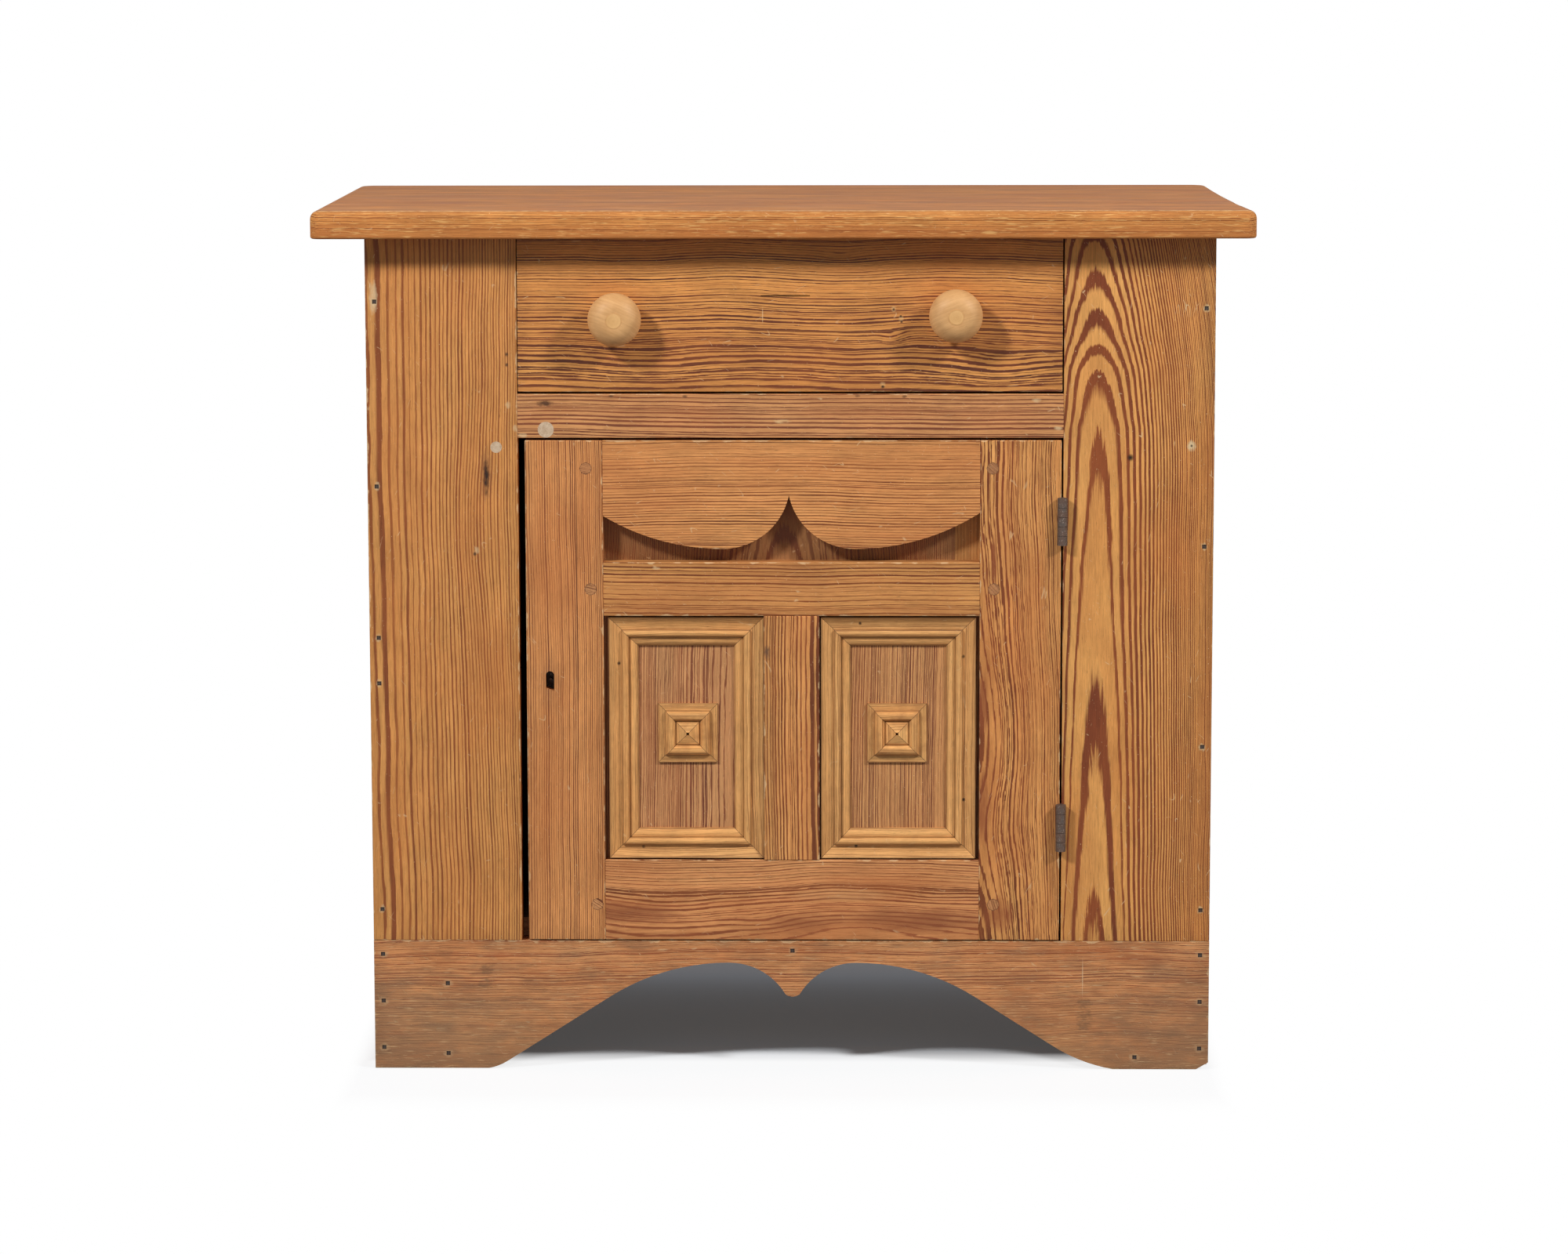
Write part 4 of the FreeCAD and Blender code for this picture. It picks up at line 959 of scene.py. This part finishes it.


# The wide board is coloured darker: its own dark tone, and painted shade of the recess behind the
# scallops.
heart_pine(
    "upper_panel",
    "xzy",
    upper_panel_face,
    heart=0.0,
    depth=70.0,
    growth=520.0,
    lean=0.02,
    wander=7.0,
    ripple=0.26,
    bold=0.95,
    early=(0.33, 0.150, 0.054, 1.0),
    gold=(0.41, 0.196, 0.074, 1.0),
    late=(0.165, 0.062, 0.024, 1.0),
    marks=upper_panel_marks,
    edge_wear=0.2,
    seed=200.0,
)
heart_pine(
    "upper_strip",
    "xzy",
    upper_panel_face,
    heart=320.0,
    depth=40.0,
    growth=900.0,
    bold=0.35,
    early=(0.64, 0.330, 0.105, 1.0),
    gold=(0.72, 0.400, 0.135, 1.0),
    edge_wear=0.2,
    seed=205.0,
)
for number, (piece, heart) in enumerate((("left_panel", -20.0), ("right_panel", 330.0))):
    heart_pine(
        piece,
        "xzy",
        lower_panel_face,
        heart=heart,
        depth=50.0,
        growth=640.0 + 460.0 * number,
        lean=0.002,
        wander=6.0,
        ripple=0.26,
        uneven=0.7,
        share=0.52,
        bold=1.05,
        early=(0.58 + 0.05 * number, 0.265 + 0.025 * number, 0.108, 1.0),
        gold=(0.68 + 0.05 * number, 0.345 + 0.025 * number, 0.140, 1.0),
        late=(0.280, 0.092, 0.038, 1.0),
        dark=(0.185, 0.060, 0.030, 1.0),
        redness=0.15,
        edge_wear=0.2,
        roughness=0.58,
        seed=210.0 + number,
    )

# ------------------------------------------------------------------ Panel mouldings and rosettes
# Four lengths of run moulding, mitred at the corners, are planted round each panel, and four short
# mitred lengths make the square rosette at its middle. Both are a paler, yellower pine.
moulding_early = (0.82, 0.390, 0.125, 1.0)
moulding_gold = (0.90, 0.485, 0.172, 1.0)
moulding_late = (0.480, 0.200, 0.062, 1.0)
moulding_dark = (0.330, 0.135, 0.046, 1.0)
moulding_pale = (0.86, 0.560, 0.270, 1.0)
# The colour of dirt and painted shade in the hollows.
moulding_grime_and_shade = (0.150, 0.070, 0.028, 1.0)

# Hollows and edges of the profile darkened by dirt and by painted shade, as mm from the outer edge and
# half width.
moulding_hollows = ((0.3, 1.3), (13.1, 0.9), (19.9, 1.1), (28.5, 1.4))
rosette_hollows = ((0.2, 0.6), (7.3, 0.8), (17.6, 1.1))
moulding_face = -204.0

# Each length is cut from another stretch of the run, so the grain breaks at the mitres.
left_length_shift = 40.0
top_length_shift = 70.0
level_length_shift = 300.0


def mitred(node, seed, tarnish, hollows, holes):
    """Finishes a square of four mitred lengths: the grain follows each length."""
    low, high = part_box(node)
    left, foot = low.x * mm_per_metre, low.z * mm_per_metre
    right, head = high.x * mm_per_metre, high.z * mm_per_metre

    def corners(place):
        across, inside, up = place.parts()
        side = (across - left).least(right - across)
        end = (up - foot).least(head - up)
        return across, inside, up, side, end

    def lay(place):
        across, inside, up, side, end = corners(place)
        level = side.math("GREATER_THAN", end)
        wide = side + (end - side) * level
        long = up + (across - up) * level
        lefthand = across.math("LESS_THAN", (left + right) / 2.0) * (1.0 - level)
        topmost = up.math("GREATER_THAN", (foot + head) / 2.0) * level
        wide = wide + left_length_shift * lefthand + top_length_shift * topmost
        return wide, long + level_length_shift * level, abs(inside - moulding_face)

    def marks(place, at):
        across, inside, up, side, end = corners(place)
        gap = (1.0 - abs(side - end) / 0.55).held()
        reach = side.least(end) + 0.9 * cloud(at, (3.0, 26.0, 3.0), 2.0, seed + 30.0)
        dirt_and_shade = 0.25 + 1.1 * cloud(at, (8.0, 40.0, 8.0), 3.0, seed + 31.0)
        # Dark lines along the hollows and edges of the profile: dirt and painted shade.
        deep = None
        for middle, half in hollows:
            line = (1.0 - abs(reach - middle) / half).held()
            deep = deep.most(line) if deep else line
        film = ((cloud(place, (14.0, 14.0, 14.0), 4.0, seed + 32.0) + 0.05) * 3.0).held()
        tints = [
            (film * tarnish, (0.400, 0.165, 0.055, 1.0)),
            ((deep * (0.45 + dirt_and_shade)).held() * 0.80, moulding_grime_and_shade),
            (gap * 0.90, (0.060, 0.026, 0.012, 1.0)),
        ]
        if holes:
            flat = place.node("ShaderNodeCombineXYZ", None, {0: across, 1: up, 2: 0.0})
            pins = patches(flat, holes, (2.0, 2.2), seed + 33.0, 1.0)
            tints.append((pins, (0.045, 0.020, 0.010, 1.0)))
        return tints

    heart_pine(
        node,
        "xzy",
        moulding_face,
        heart=-170.0,
        depth=30.0,
        growth=1300.0,
        wander=7.0,
        ripple=0.24,
        uneven=0.8,
        share=0.48,
        bold=0.60,
        early=moulding_early,
        gold=moulding_gold,
        late=moulding_late,
        dark=moulding_dark,
        pale=moulding_pale,
        redness=0.10,
        edge_wear=0.35,
        marks=marks,
        lay=lay,
        roughness=0.56,
        seed=seed,
    )


left_moulding_holes = ((-162.4, 406.8), (-139.2, 223.5))
right_moulding_holes = ((176.3, 413.7), (177.1, 270.7), (75.0, 447.0), (71.1, 224.3))
for piece, seed, tarnish, hollows, holes in (
    ("left_moulding", 220.0, 0.22, moulding_hollows, left_moulding_holes),
    ("right_moulding", 225.0, 0.22, moulding_hollows, right_moulding_holes),
    ("left_rosette", 230.0, 0.70, rosette_hollows, ()),
    ("right_rosette", 235.0, 0.70, rosette_hollows, ()),
):
    mitred(piece, seed, tarnish, hollows, holes)

# ------------------------------------------------------------------ Pegs and filled holes
# Hand-cut pegs lock the tenons, their end grain a shade darker than the frame; two round holes
# in the face were once filled with a pale putty.
peg_middles = (
    (-193.5, 600.5),
    (-189.5, 481.3),
    (-185.0, 166.5),
    (204.5, 600.5),
    (206.0, 481.3),
    (206.4, 166.5),
)
peg_radius = 5.0


def peg_marks(place, at):
    """A dark line round each peg."""
    across, inside, up = place.parts()
    near = apart(across, up, peg_middles[0], (1.0, 1.0))
    for middle in peg_middles[1:]:
        near = near.least(apart(across, up, middle, (1.0, 1.0)))
    rim = ((near.math("SQRT") - peg_radius + 1.5 * cloud(at, (2.0, 2.0, 2.0), 2.0, 241.0)) * 1.6).held()
    return [(rim * 0.65, (0.100, 0.042, 0.020, 1.0))]


heart_pine(
    "door_pegs",
    "xyz",
    0.0,
    heart=-300.0,
    depth=0.0,
    growth=1500.0,
    name="peg_pine",
    bold=0.9,
    lean=0.35,
    early=(0.60, 0.270, 0.105, 1.0),
    gold=(0.70, 0.335, 0.135, 1.0),
    late=(0.300, 0.105, 0.042, 1.0),
    marks=peg_marks,
    edge_wear=0.0,
    seed=240.0,
)


putty_light = (0.80, 0.620, 0.430, 1.0)
putty_dark = (0.46, 0.290, 0.170, 1.0)


def putty(name):
    """Old wood filler: pale and chalky, with grit and small pits."""
    finish, place = fresh_finish(name)
    grit = cloud(place, (0.9, 0.9, 0.9), 3.0, 251.0)
    stain = cloud(place, (4.0, 4.0, 4.0), 2.0, 252.0)
    colour = (0.5 + 1.2 * grit + 1.1 * stain).held().between(putty_light, putty_dark)
    looks = {"Base Color": colour, "Roughness": 0.82 + 0.2 * grit}
    lay_finish(finish, looks, grit, 0.0005, 0.7, shine=0.3)
    return finish


dress("filler_plugs", putty("putty_filler"))

# ------------------------------------------------------------------ Hinges, lock, screws and nails
# Two cast-iron butt hinges, the box lock let into the back of the lock stile, its bolt, and the
# cut nails and screws: all dark iron with a brown bloom of rust.
iron_bare = (0.080, 0.062, 0.052, 1.0)
iron_rust = (0.125, 0.066, 0.042, 1.0)
iron_worn = (0.460, 0.370, 0.310, 1.0)


def old_iron(name, metal, seed, light=1.0):
    """Forged or cast iron that has rusted and been rubbed: pitted, brown in the hollows."""
    finish, place = fresh_finish(name)
    bloom = cloud(place, (5.0, 5.0, 8.0), 4.0, seed)
    pits = cloud(place, (0.8, 0.8, 0.8), 2.0, seed + 1.0)
    rubbed = ((cloud(place, (0.9, 0.9, 1.6), 3.0, seed + 2.0) - 0.09) * 7.0).held()
    colour = (0.5 + 2.2 * bloom).held().between(iron_bare, iron_rust)
    colour = (rubbed * 0.6).between(colour, iron_worn).shaded(light + 0.7 * light * pits)
    gloss = 0.62 + 0.5 * bloom - 0.12 * rubbed
    looks = {"Base Color": colour, "Roughness": gloss, "Metallic": metal + 0.3 * rubbed}
    lay_finish(finish, looks, pits + 0.6 * bloom, 0.0006, 0.6)
    return finish


hinge_iron = old_iron("hinge_iron", 0.35, 261.0)
for piece in ("upper_case_leaf", "lower_case_leaf", "upper_door_leaf", "lower_door_leaf", "hinge_pins"):
    dress(piece, hinge_iron)
lock_iron = old_iron("lock_iron", 0.45, 265.0)
for piece in ("lock_case", "lock_bolt", "lock_screws"):
    dress(piece, lock_iron)
nail_iron = old_iron("nail_iron", 0.1, 268.0, 0.42)
for piece in ("case_hinge_screws", "door_hinge_screws", "case_nails", "knob_screws", "cleat_screws"):
    dress(piece, nail_iron)

# ------------------------------------------------------------------ Floor, lamps and camera
# A plain white studio: a pale floor that fades into white round the cupboard, a lamp high on
# each side of the camera, and soft light all round. Sizes from here on are in metres.
white = (1.0, 1.0, 1.0, 1.0)
bounce = (0.28, 0.28, 0.28, 1.0)
chalk = (0.93, 0.96, 0.99, 1.0)
cool_chalk = (0.78, 0.89, 0.99, 1.0)
floor_reach = 12.0
floor_drop = 0.0006

# The floor shows its shadow round this middle, and fades to white beyond it and in front.
shadow_half = (0.395, 0.42)
shadow_middle = 0.22
side_fade = 0.045
back_fade = 0.20
front_line = -0.128
front_fade = 0.045
front_white = 0.82
least_white = 0.05

# Where the floor under the front is cooled against the warm light thrown down by the wood.
cool_front = 0.13
cool_rise = 0.04
cool_back = 0.06
cool_fall = 0.20
cool_edge = 4.0


def seen_plainly(wire):
    """1 for what the camera sees, straight or by way of a gloss or a glass, and 0 for the rest."""
    seen = wire.node("ShaderNodeLightPath", out="Is Camera Ray")
    seen = seen.most(wire.node("ShaderNodeLightPath", out="Is Glossy Ray"))
    return seen.most(wire.node("ShaderNodeLightPath", out="Is Transmission Ray"))


floor_mesh = bpy.data.meshes.new("studio_floor")
floor_signs = ((-1, -1), (1, -1), (1, 1), (-1, 1))
floor_corners = [(x * floor_reach, y * floor_reach, 0.0) for x, y in floor_signs]
floor_mesh.from_pydata(floor_corners, [], [(0, 1, 2, 3)])
floor = bpy.data.objects.new("studio_floor", floor_mesh)
floor.location.z = -floor_drop
bpy.context.scene.collection.objects.link(floor)
floor_paint = bpy.data.materials.new("floor_paint")
floor_paint.use_nodes = True
floor_tree = floor_paint.node_tree
spot = Wire(floor_tree).node("ShaderNodeTexCoord", out="Object")
wide, deep_in = spot.parts()[:2]
beside = (abs(wide) - shadow_half[0]).most(0.0)
behind = (abs(deep_in - shadow_middle) - shadow_half[1]).most(0.0)
away = (beside * (1.0 / side_fade)).most(behind * (1.0 / back_fade))
seen = seen_plainly(spot)
far = away.held()
near = ((front_line - deep_in) / front_fade).held() * front_white
far = (far * (2.0 - far)).most(near).most(least_white) * seen
under = ((deep_in + cool_front) / cool_rise).held() * ((cool_back - deep_in) / cool_fall).held()
under = under * (1.0 - away * cool_edge).held()
cast = seen.between(bounce, under.between(chalk, cool_chalk))
matt = spot.node("ShaderNodeBsdfDiffuse", None, {"Color": cast}, "BSDF")
glow = spot.node("ShaderNodeEmission", None, {"Color": white, "Strength": 1.0}, "Emission")
mixed = far.node("ShaderNodeMixShader", None, {0: far, 1: matt, 2: glow}, "Shader")
floor_tree.links.new(mixed.socket, floor_tree.nodes["Material Output"].inputs["Surface"])
floor_mesh.materials.append(floor_paint)

room_light = 0.155
cool_daylight = (0.95, 0.99, 1.10, 1.0)
world = bpy.data.worlds.new("studio")
world.use_nodes = True
bpy.context.scene.world = world
sky = world.node_tree
seen = seen_plainly(Wire(sky))
level = room_light + (1.0 - room_light) * seen
daylight = seen.between(cool_daylight, white)
sky.links.new(level.socket, sky.nodes["Background"].inputs["Strength"])
sky.links.new(daylight.socket, sky.nodes["Background"].inputs["Color"])

lamp_size = 0.55
aim_height = 0.55
lamps = (
    ("left_lamp", (-2.3, -2.5, 2.95), 101.0),
    ("right_lamp", (2.7, -2.1, 2.9), 92.0),
)
for title, stand, watts in lamps:
    light = bpy.data.lights.new(title, "AREA")
    light.shape = "DISK"
    light.size = lamp_size
    light.energy = watts
    lamp = bpy.data.objects.new(title, light)
    lamp.location = stand
    aim = -lamp.location
    aim.z += aim_height
    lamp.rotation_euler = aim.to_track_quat("-Z", "Y").to_euler()
    bpy.context.scene.collection.objects.link(lamp)

lens_mm = 113.298
sensor_mm = 36.0
camera_place = (0.08146, -5.0, 1.13157)
downward, roll, aside = 0.14242, 0.0019, 0.01667
view = bpy.data.cameras.new("camera")
view.lens = lens_mm
view.sensor_width = sensor_mm
camera = bpy.data.objects.new("camera", view)
camera.location = camera_place
camera.rotation_euler = Euler((math.pi / 2.0 - downward, roll, aside))
bpy.context.scene.collection.objects.link(camera)
bpy.context.scene.camera = camera
bpy.context.scene.view_settings.view_transform = "Standard"
